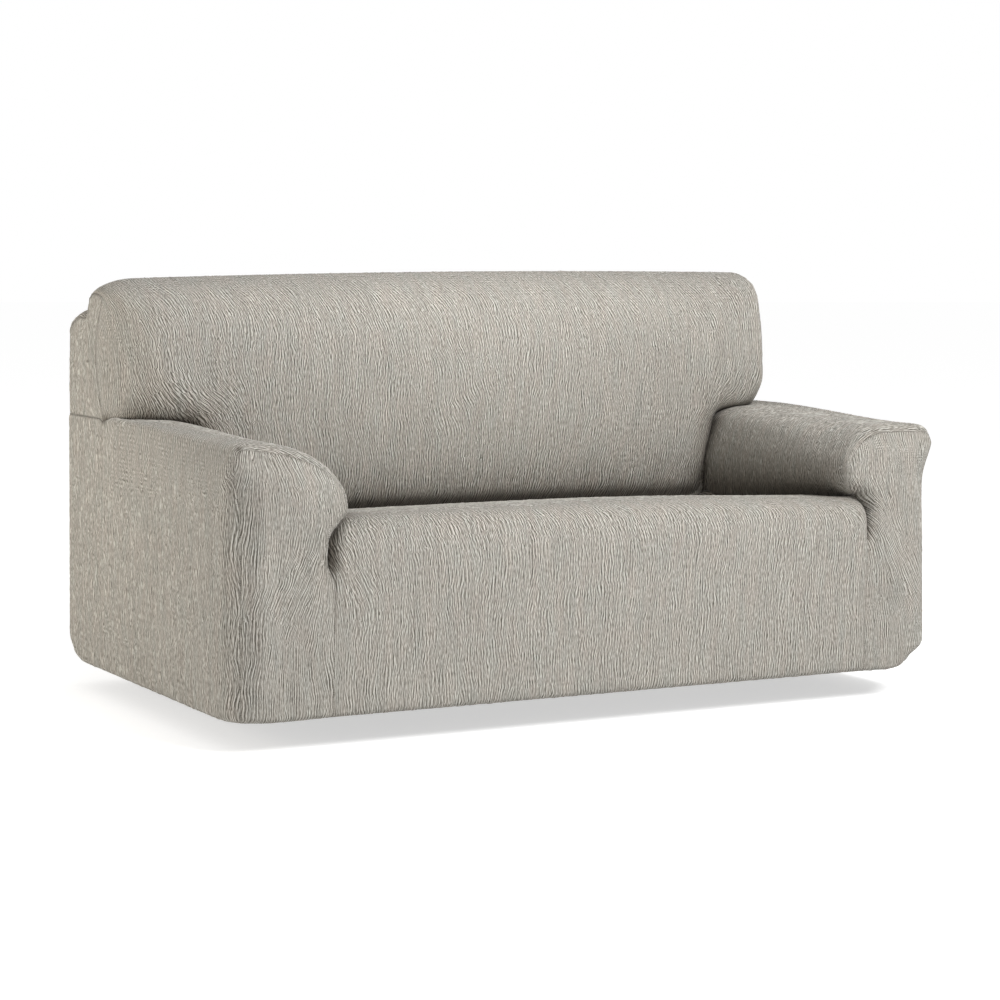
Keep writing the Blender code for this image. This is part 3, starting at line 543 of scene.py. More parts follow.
def spread(share):
    """Columns set closer together towards both ends."""
    return EVEN_SHARE * share + (1 - EVEN_SHARE) * (1 - np.cos(np.pi * share)) / 2


def seat_surface(rows, cols):
    """Points of the seat panel: rows go up the front and back over the seat."""
    row, col = grid(rows, cols)
    left, right = seat_side(-1, rows), seat_side(1, rows)
    share = spread(col / SEAT_COLS)
    x = left[:, None, 0] + (right[:, None, 0] - left[:, None, 0]) * share
    y = read(SEAT_PROFILE, "y", row)
    z = read(SEAT_PROFILE, "z", row)
    on_top = rise(row, SEAT_EDGE_ROW, SEAT_EDGE_ROWS)
    z = z - SEAT_FALL * rise(x, SEAT_FALL_START, SEAT_FALL_RUN) * on_top
    crowned = rise(row, SEAT_CROWN_ROW, SEAT_EDGE_ROWS)
    z = z - SEAT_CROWN * crowned * (x / SEAT_HALF_WIDTH) ** 2
    base = np.stack([x, y, z], axis=-1)
    near_left = curl((x - left[:, None, 0]) / SEAT_REACH)[..., None]
    near_right = curl((right[:, None, 0] - x) / SEAT_REACH)[..., None]
    base += near_left * (left - base[:, 0])[:, None]
    return base + near_right * (right - base[:, -1])[:, None]


ends = seat_surface([WALL_ROWS], [0, SEAT_COLS])[0, :, 0]
print("width of the seat, m:", np.ptp(ends).round(3))

# %% The seams of the side gussets
def wall_x(y):
    """How far the outer wall lies from the middle, with its rear corner rounded."""
    past = np.clip(y - (DEPTH - REAR_CORNER_RADIUS), 0, REAR_CORNER_RADIUS)
    return HALF_WIDTH - REAR_CORNER_RADIUS + np.sqrt(REAR_CORNER_RADIUS**2 - past**2)


def gusset_seam(side, rows):
    """The seam between the backrest's front panel and a side gusset."""
    rows = np.asarray(rows, float)
    front = np.clip(rows, NOTCH_ROW, DART_ROW)
    over = np.clip(rows, DART_ROW, BACK_ROWS)
    y, z = (
        np.where(
            rows <= DART_ROW,
            read(GUSSET_FRONT_SEAM, name, front),
            read(GUSSET_TOP_SEAM, name, over),
        )
        for name in ("y", "z")
    )
    return np.stack([side * wall_x(y), y, z], axis=-1)


corners = gusset_seam(1, [NOTCH_ROW, DART_ROW, BACK_ROWS])
print("corners of the right gusset's seam, m:", corners.round(3).tolist())

# %% Backrest
# A reach is how far from a seam the backrest starts to curl towards it.
CREASE_REACH, LOW_REACH = 0.045, 0.110
WING_REACH_LEFT, WING_REACH_RIGHT = 0.115, 0.056
TOP_REACH_LEFT, TOP_REACH_RIGHT = 0.070, 0.044
BACK_FULLNESS, BACK_SET_BACK = 0.016, 0.012
BACK_CROWN, BACK_CROWN_X = 0.0139, 0.25
FULL_ROWS, FULL_END = 5, 13
BACK_CROWN_ROW, BACK_CROWN_ROWS = 8, 8
WING_FADE_COL, WING_FADE_COLS = 5, 5
ROWS_CROWD, CROWD_ROWS = 1.6, 6
CURL_ROWS, SEAT_CURL_ROWS = 3, 2
TOP_REACH_ROW = 12


def arm_end(side, arm_rows):
    """Where an arm meets the backrest, at any of the arm's rows."""
    flat = np.asarray(arm_rows, float).ravel()
    return arm_surface(side, flat, [BACK_COL])[:, 0].reshape(np.shape(arm_rows) + (3,))


def back_form(x, row):
    """The puffed backrest without its edges: depth and height."""
    y = read(BACK_PROFILE, "y", row)
    z = read(BACK_PROFILE, "z", row)
    fullness = BACK_FULLNESS * (1 - (x / HALF_WIDTH) ** 2)
    full = rise(row, 0, FULL_ROWS) * (1 - rise(row, FULL_END, FULL_ROWS))
    y = y + BACK_SET_BACK - fullness * full
    crowned = rise(row, BACK_CROWN_ROW, BACK_CROWN_ROWS)
    z = z - BACK_CROWN * (x - BACK_CROWN_X) ** 2 * crowned
    return y, z


def back_lower_edge(side, row, col):
    """Where the backrest's panel rests: on the arm's top under a wing, else on its inner side."""
    place = col if side < 0 else BACK_COLS - col
    at_row = np.where(place < WING_COLS, NOTCH_ROW, np.clip(row, 0, NOTCH_ROW))
    under_wing = SPLIT_ROW + np.clip(place, 0, WING_COLS)
    return arm_end(side, np.where(place < WING_COLS, under_wing, CREASE_ROW - at_row)), at_row


def back_body(rows, cols):
    """The backrest's front panel, set on the arms but not yet drawn back to the gussets."""
    row, col = grid(rows, cols)
    left, left_row = back_lower_edge(-1, row, col)
    right, right_row = back_lower_edge(1, row, col)
    share = spread(np.clip((col - WING_COLS) / SEAT_COLS, 0, 1))
    x = left[..., 0] + (right[..., 0] - left[..., 0]) * share
    x = np.where(col < WING_COLS, left[..., 0], x)
    x = np.where(col > BACK_COLS - WING_COLS, right[..., 0], x)

    # Over the arms the rows crowd down towards the wing's lower edge.
    wing = 1 - rise(np.minimum(col, BACK_COLS - col), WING_FADE_COL, WING_FADE_COLS)
    lift = np.clip((row - NOTCH_ROW) / CROWD_ROWS, 0, 1)
    y, z = back_form(x, row - ROWS_CROWD * wing * np.sin(np.pi * lift) * (1 - lift))
    points = np.stack([x, y, z], axis=-1)
    above = np.where(row > NOTCH_ROW, curl((row - NOTCH_ROW) / CURL_ROWS), 1.0)
    for edge, edge_row in ((left, left_row), (right, right_row)):
        form_y, form_z = back_form(edge[..., 0], edge_row)
        hold = above * curl(np.abs(x - edge[..., 0]) / CREASE_REACH)
        points[..., 1] += hold * (edge[..., 1] - form_y)
        points[..., 2] += hold * (edge[..., 2] - form_z)
    return points


def back_surface(rows, cols):
    """Points of the backrest's front panel, drawn to the seat's crease and the gussets' seams."""
    row, col = grid(rows, cols)
    body = back_body(rows, cols)
    points = body.copy()
    for side, seam_col in ((-1, 0), (1, BACK_COLS)):
        gap = gusset_seam(side, rows) - back_body(rows, [seam_col])[:, 0]
        gap = np.where((np.asarray(rows) >= NOTCH_ROW)[:, None], gap, 0)
        reach, top_reach = (
            (WING_REACH_LEFT, TOP_REACH_LEFT) if side < 0 else (WING_REACH_RIGHT, TOP_REACH_RIGHT)
        )
        reach = reach + (top_reach - reach) * rise(row, TOP_REACH_ROW, CURL_ROWS)
        reach = reach + (LOW_REACH - reach) * (1 - rise(row, NOTCH_ROW, CURL_ROWS))
        near = curl((HALF_WIDTH - side * body[..., 0]) / reach)
        points += near[..., None] * gap[:, None]
    seat_cols = np.clip(np.asarray(cols, float) - WING_COLS, 0, SEAT_COLS)
    crease = seat_surface([SEAT_ROWS], seat_cols)[0]
    gap = crease - back_body([0], WING_COLS + seat_cols)[0]
    return points + curl(row / SEAT_CURL_ROWS)[..., None] * gap[None]


tops = back_surface(np.arange(BACK_ROWS + 1), [0, BACK_COLS / 2, BACK_COLS])[..., 2].max(axis=0)
print("top of the backrest at its left, middle and right, m:", tops.round(3))

# %% Gussets and rear
GUSSET_PUFF = 0.002
EDGE_SHARE = 0.05
REAR_TOP_ROWS = 2


def gusset_rear_edge(side, rows):
    """The upright rear corner from the arm's seam to the top."""
    low = arm_surface(side, [SPLIT_ROW], [REAR_COL])[0, 0]
    high = gusset_seam(side, [BACK_ROWS])[0]
    share = (np.asarray(rows, float) / GUSSET_ROWS)[:, None]
    return low + (high - low) * share


def gusset_surface(side, rows, cols):
    """Points of a side gusset: rows go up, columns go back."""
    row, col = grid(rows, cols)
    up = (row / GUSSET_ROWS)[..., None]
    back = (col / GUSSET_COLS)[..., None]
    front_edge = gusset_seam(side, NOTCH_ROW + np.asarray(rows, float))[:, None]
    rear_edge = gusset_rear_edge(side, rows)[:, None]
    top_edge = gusset_seam(side, DART_ROW + np.asarray(cols, float))[None]
    bottom_edge = arm_surface(side, [SPLIT_ROW], BACK_COL + np.asarray(cols, float))
    corners = (gusset_seam(side, [NOTCH_ROW, DART_ROW, BACK_ROWS]), gusset_rear_edge(side, [0])[0])
    (low_front, high_front, high_rear), low_rear = corners
    points = front_edge * (1 - back) + rear_edge * back
    points += bottom_edge * (1 - up) + top_edge * up
    points -= (low_front * (1 - back) + low_rear * back) * (1 - up)
    points -= (high_front * (1 - back) + high_rear * back) * up
    inside = np.sin(np.pi * row / GUSSET_ROWS) * np.sin(np.pi * col / GUSSET_COLS)
    x = wall_x(points[..., 1])
    points[..., 0] = side * (x + GUSSET_PUFF * inside)
    return points


def rear_surface(rows, cols):
    """Points of the rear panel: rows go up from the hem, columns go from left to right."""
    row, col = grid(rows, cols)
    rows = np.asarray(rows, float)
    top = back_surface([BACK_ROWS], cols)
    edges = []
    for side in (-1, 1):
        low = arm_surface(side, np.clip(rows, 0, SPLIT_ROW), [REAR_COL])[:, 0]
        high = gusset_rear_edge(side, np.clip(rows - SPLIT_ROW, 0, GUSSET_ROWS))
        edges.append(np.where((rows <= SPLIT_ROW)[:, None], low, high)[:, None])
    left, right = edges
    share = (top[..., 0] - top[0, 0, 0]) / (top[0, -1, 0] - top[0, 0, 0])
    x = left[..., 0] + (right[..., 0] - left[..., 0]) * share
    z = left[..., 2] + (right[..., 2] - left[..., 2]) * share
    edge_z = top[0, 0, 2] + (top[0, -1, 2] - top[0, 0, 2]) * share
    z = z + (top[..., 2] - edge_z) * np.clip((row - SPLIT_ROW) / GUSSET_ROWS, 0, 1)
    inset = read(HEM, "inset", np.clip(row, 0, HEM_ROWS))
    radius = REAR_CORNER_RADIUS - inset
    past = np.clip(np.abs(x) - (HALF_WIDTH - REAR_CORNER_RADIUS), 0, radius)
    y = DEPTH - REAR_CORNER_RADIUS + np.sqrt(radius**2 - past**2)
    for edge, from_edge in ((left, share), (right, 1 - share)):
        rounded = np.clip(np.abs(edge[..., 0]) - (HALF_WIDTH - REAR_CORNER_RADIUS), 0, radius)
        edge_y = DEPTH - REAR_CORNER_RADIUS + np.sqrt(radius**2 - rounded**2)
        y = y + (edge[..., 1] - edge_y) * np.clip(1 - from_edge / EDGE_SHARE, 0, 1)
    y = y + (top[..., 1] - y) * rise(row, REAR_ROWS - REAR_TOP_ROWS, REAR_TOP_ROWS)
    return np.stack([x, y, z], axis=-1)


rear = rear_surface(np.arange(REAR_ROWS + 1), np.arange(BACK_COLS + 1)).reshape(-1, 3)
print("rear panel, m:", np.ptp(rear, axis=0).round(3))

# %% Move points by the folds and tucks
def nearness(points, row):
    """How near each point is to a table row's line: 1 on it, fading over the row's reach."""
    start, end = np.array(row[:3]), np.array(row[3:6])
    line = end - start
    along = np.clip((points - start) @ line / (line @ line), 0, 1)
    away = np.linalg.norm(points - start - along[..., None] * line, axis=-1)
    return np.exp(-((away / row[6]) ** 2))


def moved(points, rows):
    """Points moved by the rows of a table: each row moves what is near its line."""
    return points + sum(nearness(points, row)[..., None] * np.array(row[7:10]) for row in rows)


def drawn_in(points):
    """Points moved by the tucks at the hem's corners, where the cloth is drawn in over a foot."""
    x, y, z = points[..., 0], points[..., 1], points[..., 2]
    drawn = points.copy()
    for side, corner_y, in_x, in_y, up in TUCKS:
        away = np.hypot(HALF_WIDTH - side * x, y - corner_y)
        hold = ease(1 - away / TUCK_REACH) * ease((TUCK_TOP - z) / (TUCK_TOP - HEM_HEIGHT))
        drawn += hold[..., None] * np.array([-side * in_x, in_y, up])
    return drawn


way = rear - moved(drawn_in(rear), FOLDS)
print("the rear panel's largest move by folds and tucks, m:", np.abs(way).max().round(4))

# %% [markdown]
# ## From rows and columns to cloth
#
# A panel is cut flat, so its pattern runs in flat measures: so many metres across and so many
# metres along. The lengths of the surface's own rows and columns give them. They also say how
# finely to sample: narrow steps across the crinkles, which are only some millimetres wide, and
# longer ones along them. The backrest's outer columns are drawn back to a curved seam by very
# different lengths, so there each row is measured by itself. Where that leaves the sampling
# lines too far apart or too slanted for the crinkles, their height fades and the colour stays.

# %% Choose the sampling lines
STEP_ACROSS = 0.0018
STEP_ALONG = 0.0125
WIDE_LIMIT = 1.3
SLANT_LIMIT = 0.0025


def lengths(points, axis):
    """The mean length of each step along one axis of a grid of points."""
    steps = np.linalg.norm(np.diff(points, axis=axis), axis=2)
    return steps.mean(axis=1 - axis)


def fine_lines(step_lengths, target):
    """Sampling places between whole numbers, and which of them the inner face also uses."""
    places, marks = [0.0], [0]
    for number, length in enumerate(step_lengths):
        parts = 2 * max(1, int(np.ceil(length / (2 * target))))
        places += [number + (part + 1) / parts for part in range(parts)]
        marks += [len(places) - 1 - parts // 2, len(places) - 1]
    return np.array(places), np.array(marks)


def flat_measure(step_lengths, places):
    """How far along the flat cloth each sampling place lies."""
    run = np.append(0, np.cumsum(step_lengths))
    return np.interp(places, np.arange(len(run)), run)


print("faces, mm:", 1000 * STEP_ACROSS, "across the crinkles and", 1000 * STEP_ALONG, "along")

# %% Measure the wings row by row
def wing_excess(points, flat_u, cols):
    """How much further from the middle each point of a wing lies than its column's mean measure."""
    excess = np.linalg.norm(np.diff(points, axis=1), axis=2) - np.diff(flat_u, axis=1)
    from_side = BACK_COLS / 2 - np.abs((cols[:-1] + cols[1:]) / 2 - BACK_COLS / 2)
    excess *= ease((WING_COLS + 1 - from_side) / 2)
    total = np.pad(np.cumsum(excess, axis=1), ((0, 0), (1, 0)))
    return total - total[:, [len(cols) // 2]]


def evenness(points, flat_u):
    """From 1 where the sampling lines suit the crinkles to 0 where they are too wide or slanted."""
    width = np.linalg.norm(np.gradient(points, axis=1), axis=2)
    slant = np.gradient(flat_u, axis=0)
    too_wide = np.maximum(width / STEP_ACROSS - WIDE_LIMIT, 0)
    return np.exp(-(too_wide**2) - (slant / SLANT_LIMIT) ** 2)


print("crinkles fade in faces wider than", round(1000 * STEP_ACROSS * WIDE_LIMIT, 2), "mm")

# %% [markdown]
# ## Creases between the cushions
#
# Elastic cloth sinks deep where two cushions meet, and the shade in there draws the sofa's
# lines. That shade is painted: the colour darkens near each crease. These rows read like the
# folds: a short line, a reach and how far the cloth moves, and then how far the painted shade
# reaches. The panels on both sides of a seam move together, so no seam opens.

# %% Table of creases
CREASES = (
    (-0.560, 0.045, 0.430, -0.589, 0.024, 0.400, 0.013, 0.000, 0.016, 0.000, 0.015),
    (-0.589, 0.024, 0.400, -0.600, 0.008, 0.345, 0.013, 0.000, 0.014, 0.000, 0.014),
    (0.610, 0.050, 0.430, 0.636, 0.026, 0.402, 0.010, 0.000, 0.007, 0.000, 0.009),
    (0.636, 0.026, 0.402, 0.634, 0.008, 0.345, 0.010, 0.000, 0.004, 0.000, 0.007),
    (-0.600, 0.655, 0.383, 0.600, 0.655, 0.380, 0.024, 0.000, 0.022, -0.010, 0.042),
    (-0.612, 0.632, 0.395, -0.631, 0.624, 0.550, 0.016, -0.007, 0.014, 0.000, 0.020),
    (0.616, 0.632, 0.395, 0.631, 0.624, 0.550, 0.016, 0.007, 0.014, 0.000, 0.040),
    (-0.803, 0.740, 0.594, -0.733, 0.660, 0.596, 0.015, 0.000, 0.006, -0.006, 0.012),
    (-0.733, 0.660, 0.596, -0.640, 0.628, 0.570, 0.016, 0.000, 0.012, -0.005, 0.044),
    (0.803, 0.740, 0.594, 0.733, 0.660, 0.590, 0.015, 0.000, 0.006, -0.006, 0.012),
    (0.733, 0.660, 0.590, 0.640, 0.628, 0.570, 0.016, 0.000, 0.012, -0.005, 0.022),
    (-0.566, 0.098, 0.427, -0.611, 0.583, 0.396, 0.016, -0.006, 0.000, -0.012, 0.060),
    (0.616, 0.103, 0.426, 0.616, 0.584, 0.396, 0.016, 0.006, 0.000, -0.012, 0.060),
    (-0.800, 0.870, 0.822, -0.730, 0.880, 0.830, 0.020, 0.004, 0.000, -0.012, 0.012),
    (-0.796, 0.004, 0.584, -0.784, 0.020, 0.574, 0.006, 0.000, 0.002, -0.004, 0.006),
)
print(len(CREASES), "creases")

# %% [markdown]
# ## Where the cloth is gathered, and which way it leans
#
# Stretch crepe lies evenly over a plain cushion. Where it is pulled into a crease, round a
# corner or over an edge, its crinkles draw together and get deeper, and they turn towards the
# pull. Two tables of short lines with a reach say how strongly the cloth is gathered, and how
# far its crinkles lean: metres to the right, or to the rear on an arm's side, for each metre
# upwards.

# %% Gathers and leans
GATHERS = (
    (-0.795, 0.020, 0.080, -0.790, 0.020, 0.520, 0.014, 0.2),
    (-0.770, 0.000, 0.120, -0.765, 0.000, 0.500, 0.030, 0.3),
    (-0.785, 0.010, 0.560, -0.640, 0.020, 0.550, 0.022, 0.6),
    (-0.620, 0.010, 0.380, -0.700, 0.000, 0.300, 0.050, 0.8),
    (-0.730, 0.620, 0.625, -0.560, 0.605, 0.590, 0.050, 1.5),
    (-0.600, 0.620, 0.440, 0.600, 0.620, 0.440, 0.035, 1.0),
    (0.640, 0.000, 0.410, 0.700, 0.000, 0.230, 0.040, 0.9),
    (0.620, 0.020, 0.560, 0.780, 0.010, 0.575, 0.016, 0.9),
    (0.720, 0.610, 0.640, 0.640, 0.610, 0.600, 0.040, 0.8),
    (-0.700, 0.640, 0.860, 0.700, 0.640, 0.860, 0.070, 0.4),
    (-0.580, 0.010, 0.425, 0.600, 0.010, 0.420, 0.035, 0.6),
    (-0.700, 0.160, 0.590, -0.640, 0.040, 0.560, 0.050, 0.5),
    (-0.790, 0.100, 0.560, -0.790, 0.600, 0.565, 0.040, 0.4),
)
LEANS = (
    (-0.620, 0.000, 0.400, -0.690, 0.000, 0.280, 0.065, 0.45),
    (-0.705, 0.000, 0.545, -0.640, 0.010, 0.510, 0.045, -0.50),
    (-0.590, 0.010, 0.360, -0.540, 0.010, 0.300, 0.050, -0.50),
    (-0.560, 0.020, 0.425, 0.600, 0.020, 0.425, 0.045, -0.60),
    (-0.780, 0.620, 0.640, -0.600, 0.600, 0.630, 0.060, -0.90),
    (0.640, 0.000, 0.410, 0.750, 0.000, 0.240, 0.060, -0.65),
    (0.720, 0.610, 0.650, 0.640, 0.610, 0.600, 0.060, 0.60),
    (-0.750, 0.640, 0.860, 0.600, 0.640, 0.860, 0.090, -0.45),
    (-0.100, 0.640, 0.780, -0.020, 0.640, 0.600, 0.110, -0.25),
    (0.380, 0.640, 0.740, 0.420, 0.640, 0.560, 0.090, -0.20),
    (-0.790, 0.080, 0.555, -0.790, 0.600, 0.560, 0.070, 0.75),
)


def crease_shade_mask(points):
    """How much painted shade each point gets from the creases, from 0 to 1."""
    return np.max([nearness(points, (*row[:6], row[10])) for row in CREASES], axis=0)


def gathered(points):
    """How strongly the cloth is gathered at each point, from 0 to about 1."""
    return np.max([row[7] * nearness(points, row) for row in GATHERS], axis=0)


def leaning(points):
    """How far the crinkles lean at each point, in the direction of the panel's columns."""
    run = (points[:, -1] - points[:, 0]).mean(axis=0)
    toward = np.sign(run[np.abs(run).argmax()])
    return toward * np.sum([row[7] * nearness(points, row) for row in LEANS], axis=0)


print(len(GATHERS), "gathers,", len(LEANS), "leans")

# %% [markdown]
# ## One panel as a closed sheet
#
# A single layer of faces would have no edge to see at the hem, and would be no real sheet. So
# the outer face is sampled finely, a plainer inner face lies a cloth's thickness below it, and
# a narrow wall joins the two round the rim. Each rim face has many corners on its outer side
# and two on its inner side, so the two samplings fit without a gap.

# %% Build the closed sheet
def directions(points):
    """The outward direction at each point of a grid whose rows go up and columns to the right."""
    up, right = np.gradient(points, axis=0), np.gradient(points, axis=1)
    across = np.cross(right, up)
    return across / np.maximum(np.linalg.norm(across, axis=2, keepdims=True), 1e-12)


def rim_steps(kept):
    """The rim of the kept cells, as steps between grid corners, each as its cell goes round."""
    room = np.pad(kept, 1)
    inside = room[1:-1, 1:-1]
    sides = (
        (room[:-2, 1:-1], (0, 0), (0, 1)),
        (room[1:-1, 2:], (0, 1), (1, 1)),
        (room[2:, 1:-1], (1, 1), (1, 0)),
        (room[1:-1, :-2], (1, 0), (0, 0)),
    )
    steps = []
    for beyond, first, second in sides:
        for cell in np.argwhere(inside & ~beyond):
            steps.append((tuple(cell + first), tuple(cell + second)))
    return steps


def cells(index, kept):
    """Four-sided faces for the kept cells of a grid of point numbers."""
    faces = np.stack([index[:-1, :-1], index[:-1, 1:], index[1:, 1:], index[1:, :-1]], axis=-1)
    return faces[kept]


def closed_sheet(points, outward, row_marks, col_marks, kept):
    """Corners and faces of the sheet: first the outer grid's corners, then the inner one's."""
    rows, cols = points.shape[:2]
    outer = np.arange(rows * cols).reshape(rows, cols)
    picked = np.ix_(row_marks, col_marks)
    inner = rows * cols + np.arange(len(row_marks) * len(col_marks)).reshape(len(row_marks), -1)
    under = points[picked] - CLOTH_THICKNESS * outward[picked]
    kept_inner = kept[np.ix_(row_marks[:-1], col_marks[:-1])]
    faces = cells(outer, kept).tolist()
    faces += cells(inner, kept_inner)[:, ::-1].tolist()
    for first, second in rim_steps(kept_inner):
        row_1, row_2 = row_marks[first[0]], row_marks[second[0]]
        col_1, col_2 = col_marks[first[1]], col_marks[second[1]]
        count = max(abs(row_2 - row_1), abs(col_2 - col_1)) + 1
        edge_rows = np.linspace(row_2, row_1, count).round().astype(int)
        edge_cols = np.linspace(col_2, col_1, count).round().astype(int)
        faces.append([*outer[edge_rows, edge_cols].tolist(), int(inner[first]), int(inner[second])])
    return np.concatenate([points.reshape(-1, 3), under.reshape(-1, 3)]), faces


print("rim of a sheet of 3 x 4 cells:", len(rim_steps(np.ones((3, 4), bool))), "steps")

# %% [markdown]
# ## The crinkles, as Geometry Nodes
#
# Crepe crinkles follow one rule all over the cloth: narrow waves some millimetres wide and a
# few centimetres long, side by side, that fork, fade and wander a little. A Gabor texture makes
# just that, a field of short waves in one direction, where a plain noise would give blobs. One
# node tree does this for every panel, so its sizes are named inputs. It moves the outer face
# along its normals, and keeps the bent pattern place as an attribute, "grain", so that the
# colour can follow the same waves, with painted shade in their grooves and painted light on
# their ridges. Where the cloth leans, the pattern is sheared in patches, each by a whole number
# of steps, and the waves are turned by the rest: one shear that grew from place to place would
# smear them. Leaning waves also cross the long sides of the faces, so there they are left to
# the colour's painted shade and light.

# %% Small helpers for node trees
def add_node(tree, kind, **settings):
    node = tree.nodes.new(kind)
    for name, value in settings.items():
        setattr(node, name, value)
    return node


def feed(tree, socket, value):
    """Links a socket to another, or gives it a plain value."""
    if isinstance(value, bpy.types.NodeSocket):
        tree.links.new(value, socket)
    else:
        socket.default_value = value


def worked_out(tree, operation, *inputs):
    """The result of one Math node."""
    node = add_node(tree, "ShaderNodeMath", operation=operation)
    for socket, value in zip(node.inputs, inputs):
        feed(tree, socket, value)
    return node.outputs[0]


def vector_of(tree, x, y, z):
    node = add_node(tree, "ShaderNodeCombineXYZ")
    for socket, value in zip(node.inputs, (x, y, z)):
        feed(tree, socket, value)
    return node.outputs[0]


def parts_of(tree, vector):
    node = add_node(tree, "ShaderNodeSeparateXYZ")
    tree.links.new(vector, node.inputs[0])
    return node.outputs


# %% Start and end a Geometry Nodes tree
def geometry_tree(name, sizes, material):
    """A new tree with a mesh, named sizes and a material going in, and the sockets they give."""
    tree = bpy.data.node_groups.new(name, "GeometryNodeTree")
    face = tree.interface
    face.new_socket("Geometry", in_out="INPUT", socket_type="NodeSocketGeometry")
    for size_name, size in sizes.items():
        kind = "NodeSocketInt" if isinstance(size, int) else "NodeSocketFloat"
        face.new_socket(size_name, in_out="INPUT", socket_type=kind).default_value = size
    face.new_socket(material, in_out="INPUT", socket_type="NodeSocketMaterial")
    face.new_socket("Geometry", in_out="OUTPUT", socket_type="NodeSocketGeometry")
    return tree, add_node(tree, "NodeGroupInput").outputs


def end_tree(tree, geometry, material):
    """Makes what comes out real, and gives it its finish."""
    realize = add_node(tree, "GeometryNodeRealizeInstances")
    tree.links.new(geometry, realize.inputs[0])
    coat = add_node(tree, "GeometryNodeSetMaterial")
    tree.links.new(realize.outputs[0], coat.inputs["Geometry"])
    tree.links.new(material, coat.inputs["Material"])
    tree.links.new(coat.outputs[0], add_node(tree, "NodeGroupOutput").inputs[0])


def made_by(tree, mesh, values):
    """An object with the plain mesh that a tree makes of this one, given these input values."""
    thing = bpy.data.objects.new(mesh.name, mesh)
    bpy.context.scene.collection.objects.link(thing)
    modifier = thing.modifiers.new(tree.name, "NODES")
    modifier.node_group = tree
    inputs = [item for item in tree.interface.items_tree if item.in_out == "INPUT"]
    sockets = {item.name: item.identifier for item in inputs}
    for name, value in values.items():
        modifier[sockets[name]] = value
    graph = bpy.context.evaluated_depsgraph_get()
    finished = bpy.data.meshes.new_from_object(thing.evaluated_get(graph), depsgraph=graph)
    thing.modifiers.clear()
    thing.data = finished
    bpy.data.meshes.remove(mesh)
    finished.name = thing.name
    return thing


def triangle_count(thing):
    return sum(len(polygon.vertices) - 2 for polygon in thing.data.polygons)


# %% Textures that both the shape and the colour use
CRINKLE_ORDER = 0.75
WAVES_PER_UNIT = 2.0


def noise_around_zero(tree, place, detail):
    node = add_node(tree, "ShaderNodeTexNoise", noise_dimensions="3D")
    node.inputs["Scale"].default_value = 1.0
    node.inputs["Detail"].default_value = detail
    tree.links.new(place, node.inputs["Vector"])
    return worked_out(tree, "SUBTRACT", node.outputs[0], 0.5)


def waves_around_zero(tree, place, order, turn, tightness):
    """Short waves across the cloth, about a unit long: the more order, the straighter."""
    node = add_node(tree, "ShaderNodeTexGabor", gabor_type="2D")
    feed(tree, node.inputs["Vector"], place)
    feed(tree, node.inputs["Scale"], 1.0)
    feed(tree, node.inputs["Frequency"], tightness)
    feed(tree, node.inputs["Anisotropy"], order)
    for socket in node.inputs:
        if socket.name == "Orientation" and socket.type == "VALUE":
            feed(tree, socket, turn)
    return worked_out(tree, "SUBTRACT", node.outputs["Value"], 0.5)


# %% Waves that lean
PATCH_UNEVENNESS = 1.2


def turned(tree, lean, slope):
    """The turn of waves that lean, and how tight they are so that their width stays the same."""
    turn = worked_out(tree, "MULTIPLY", worked_out(tree, "ARCTANGENT", slope), -1.0)
    more = worked_out(tree, "MULTIPLY_ADD", slope, slope, 1.0)
    less = worked_out(tree, "MULTIPLY_ADD", lean, lean, 1.0)
    tightness = worked_out(tree, "SQRT", worked_out(tree, "DIVIDE", more, less))
    return turn, worked_out(tree, "MULTIPLY", tightness, WAVES_PER_UNIT)


def combed(tree, grain, flat, lean, reach, step, steepness):
    """The pattern sheared to the lean in patches, each by whole steps, and the slope left over."""
    place = add_node(tree, "ShaderNodeVectorMath", operation="DIVIDE")
    tree.links.new(flat, place.inputs[0])
    tree.links.new(vector_of(tree, reach, reach, 1.0), place.inputs[1])
    steps = worked_out(tree, "DIVIDE", lean, step)
    noise = noise_around_zero(tree, place.outputs[0], 1.0)
    uneven = worked_out(tree, "MULTIPLY_ADD", noise, PATCH_UNEVENNESS, steps)
    patch = worked_out(tree, "MULTIPLY", worked_out(tree, "ROUND", uneven), step)
    across, along, seed = parts_of(tree, grain)
    shift = worked_out(tree, "MULTIPLY", worked_out(tree, "MULTIPLY", patch, steepness), along)
    rest = worked_out(tree, "SUBTRACT", lean, patch)
    sheared = vector_of(tree, worked_out(tree, "SUBTRACT", across, shift), along, seed)
    return sheared, worked_out(tree, "MULTIPLY", rest, steepness)


# %% The crinkle tree's sizes
CRINKLE_SIZES = {
    "Crinkle Width": 0.0058,
    "Crinkle Length": 0.030,
    "Crinkle Depth": 0.0042,
    "Wander": 0.0035,
    "Wander Reach": 0.030,
    "Gather Depth": 0.7,
    "Comb Step": 0.22,
    "Seam Groove": 0.0006,
    "Seed": 0.0,
}
SEED_STEP = 7.0
FRONT_WIDTH_SHARE, FRONT_LENGTH_SHARE = 0.8, 2


def crinkle_sizes(name, number=0):
    """The crinkle sizes of one panel: the narrow arm fronts have finer and longer crinkles."""
    sizes = {**CRINKLE_SIZES, "Seed": SEED_STEP * number}
    if name.startswith("arm_front"):
        sizes["Crinkle Width"] *= FRONT_WIDTH_SHARE
        sizes["Crinkle Length"] *= FRONT_LENGTH_SHARE
    return sizes


# %% Where each point lies in the pattern
# Each bend of the pattern: its reach and size, as shares of the wander's, and a shift that makes
# the bends differ
CLOSE_BEND = (1.0, 11.0)
SLOW_BEND = (5.0, 23.0)


